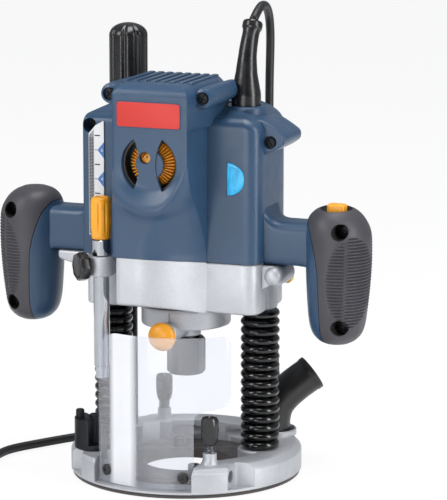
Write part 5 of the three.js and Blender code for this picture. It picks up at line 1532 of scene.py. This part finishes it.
def make_fine_knob():
    profile = [(3.4, 179.4), (6.2, 179.4), (6.8, 180), (6.9, 184), (7.4, 188)]
    profile += [(7.4, 188 + 3.4 * i) for i in range(1, 6)]
    profile += [(7.3, 206.5), (7.0, 208), (6.4, 209.2), (5.4, 209.8), (3.6, 210), (3.0, 209.4),
                (1.4, 209.0), (0.01, 209.0), (0.01, 197.4), (3.4, 197.4)]

    def wave(angle, height):
        share = eased((height - 183) / 6) * (1 - eased((height - 203) / 6))
        return 1 - 0.11 * share * max(0.0, math.cos(9 * angle)) ** 2

    knob = turned("fine_adjuster", profile, DEPTH_ROD, count=108, looped=True, wave=wave)
    fitted(painted(knob, ORANGE), "fine_knob", "orange_plastic", "depth_fine_knob", crease=50)


def make_clamp_knob():
    clamp = (*DEPTH_ROD[:2], CLAMP_Z)
    grip = turned("depth_clamp_wheel", [(0.01, 10.1), (7.2, 10.1), (9.4, 11), (10.6, 12.6), (10.6, 17.6),
                                        (9.6, 19.1), (8.6, 18.9), (7.9, 18.5), (0.01, 18.5)], clamp,
                  CLAMP_DIRECTION, count=8)
    softened(grip, 0.5, 2, angle=20)
    shank = rod("shank", 2.6, 6.1, 10.4, clamp, CLAMP_DIRECTION, count=32)
    fitted(gathered("depth_clamp_wheel", [painted(grip, KNOB), painted(shank, DARK_STEEL)]), "clamp_knob",
           "black_plastic", "depth_clamp_knob", crease=30)


# ------------------------------------------------------------------ what is inside
INSIDE = (
    ("steel", STEEL, "column_left", "column_right", "plunge_bushing_left", "plunge_bushing_right", "stator",
     "bearing_lower", "bearing_upper"),
    ("black_plastic", BLACK, "cooling_fan", "switch_block", "carbon_brush_left", "carbon_brush_right"),
    ("circuit_board", BOARD, "speed_board", "brush_holder_left", "brush_holder_right"),
)


def paint_inside():
    for slot, material, *names in INSIDE:
        for name in names:
            node = cad_nodes[name]
            if node.material_slots:
                for place in node.material_slots:
                    place.material = material
            else:
                node.data.materials.append(material)


make_camera()
make_floor()
make_light()
make_lead()
make_strain_relief()
make_base()
make_slide_plate()
for side_name, side_sign in SIDES:
    make_bellows(side_name, side_sign)
    make_return_spring(side_name, side_sign)
    make_handle(side_name, side_sign)
    make_grip(side_name, side_sign)
make_height_rod()
make_height_knob()
make_turret()
for position, screw_x, screw_y in GUIDE_SCREWS:
    make_guide_screw("guide_screw_" + position, screw_x, screw_y)
make_shield()
make_dust_port()
make_casting()
make_housing()
make_case_screws()
make_switch_pieces()
make_speed_dial()
make_lens()
make_scale()
make_badge()
make_lever()
make_lock_button()
make_chuck()
make_depth_rod()
make_fine_knob()
make_clamp_knob()
make_armature()
paint_inside()
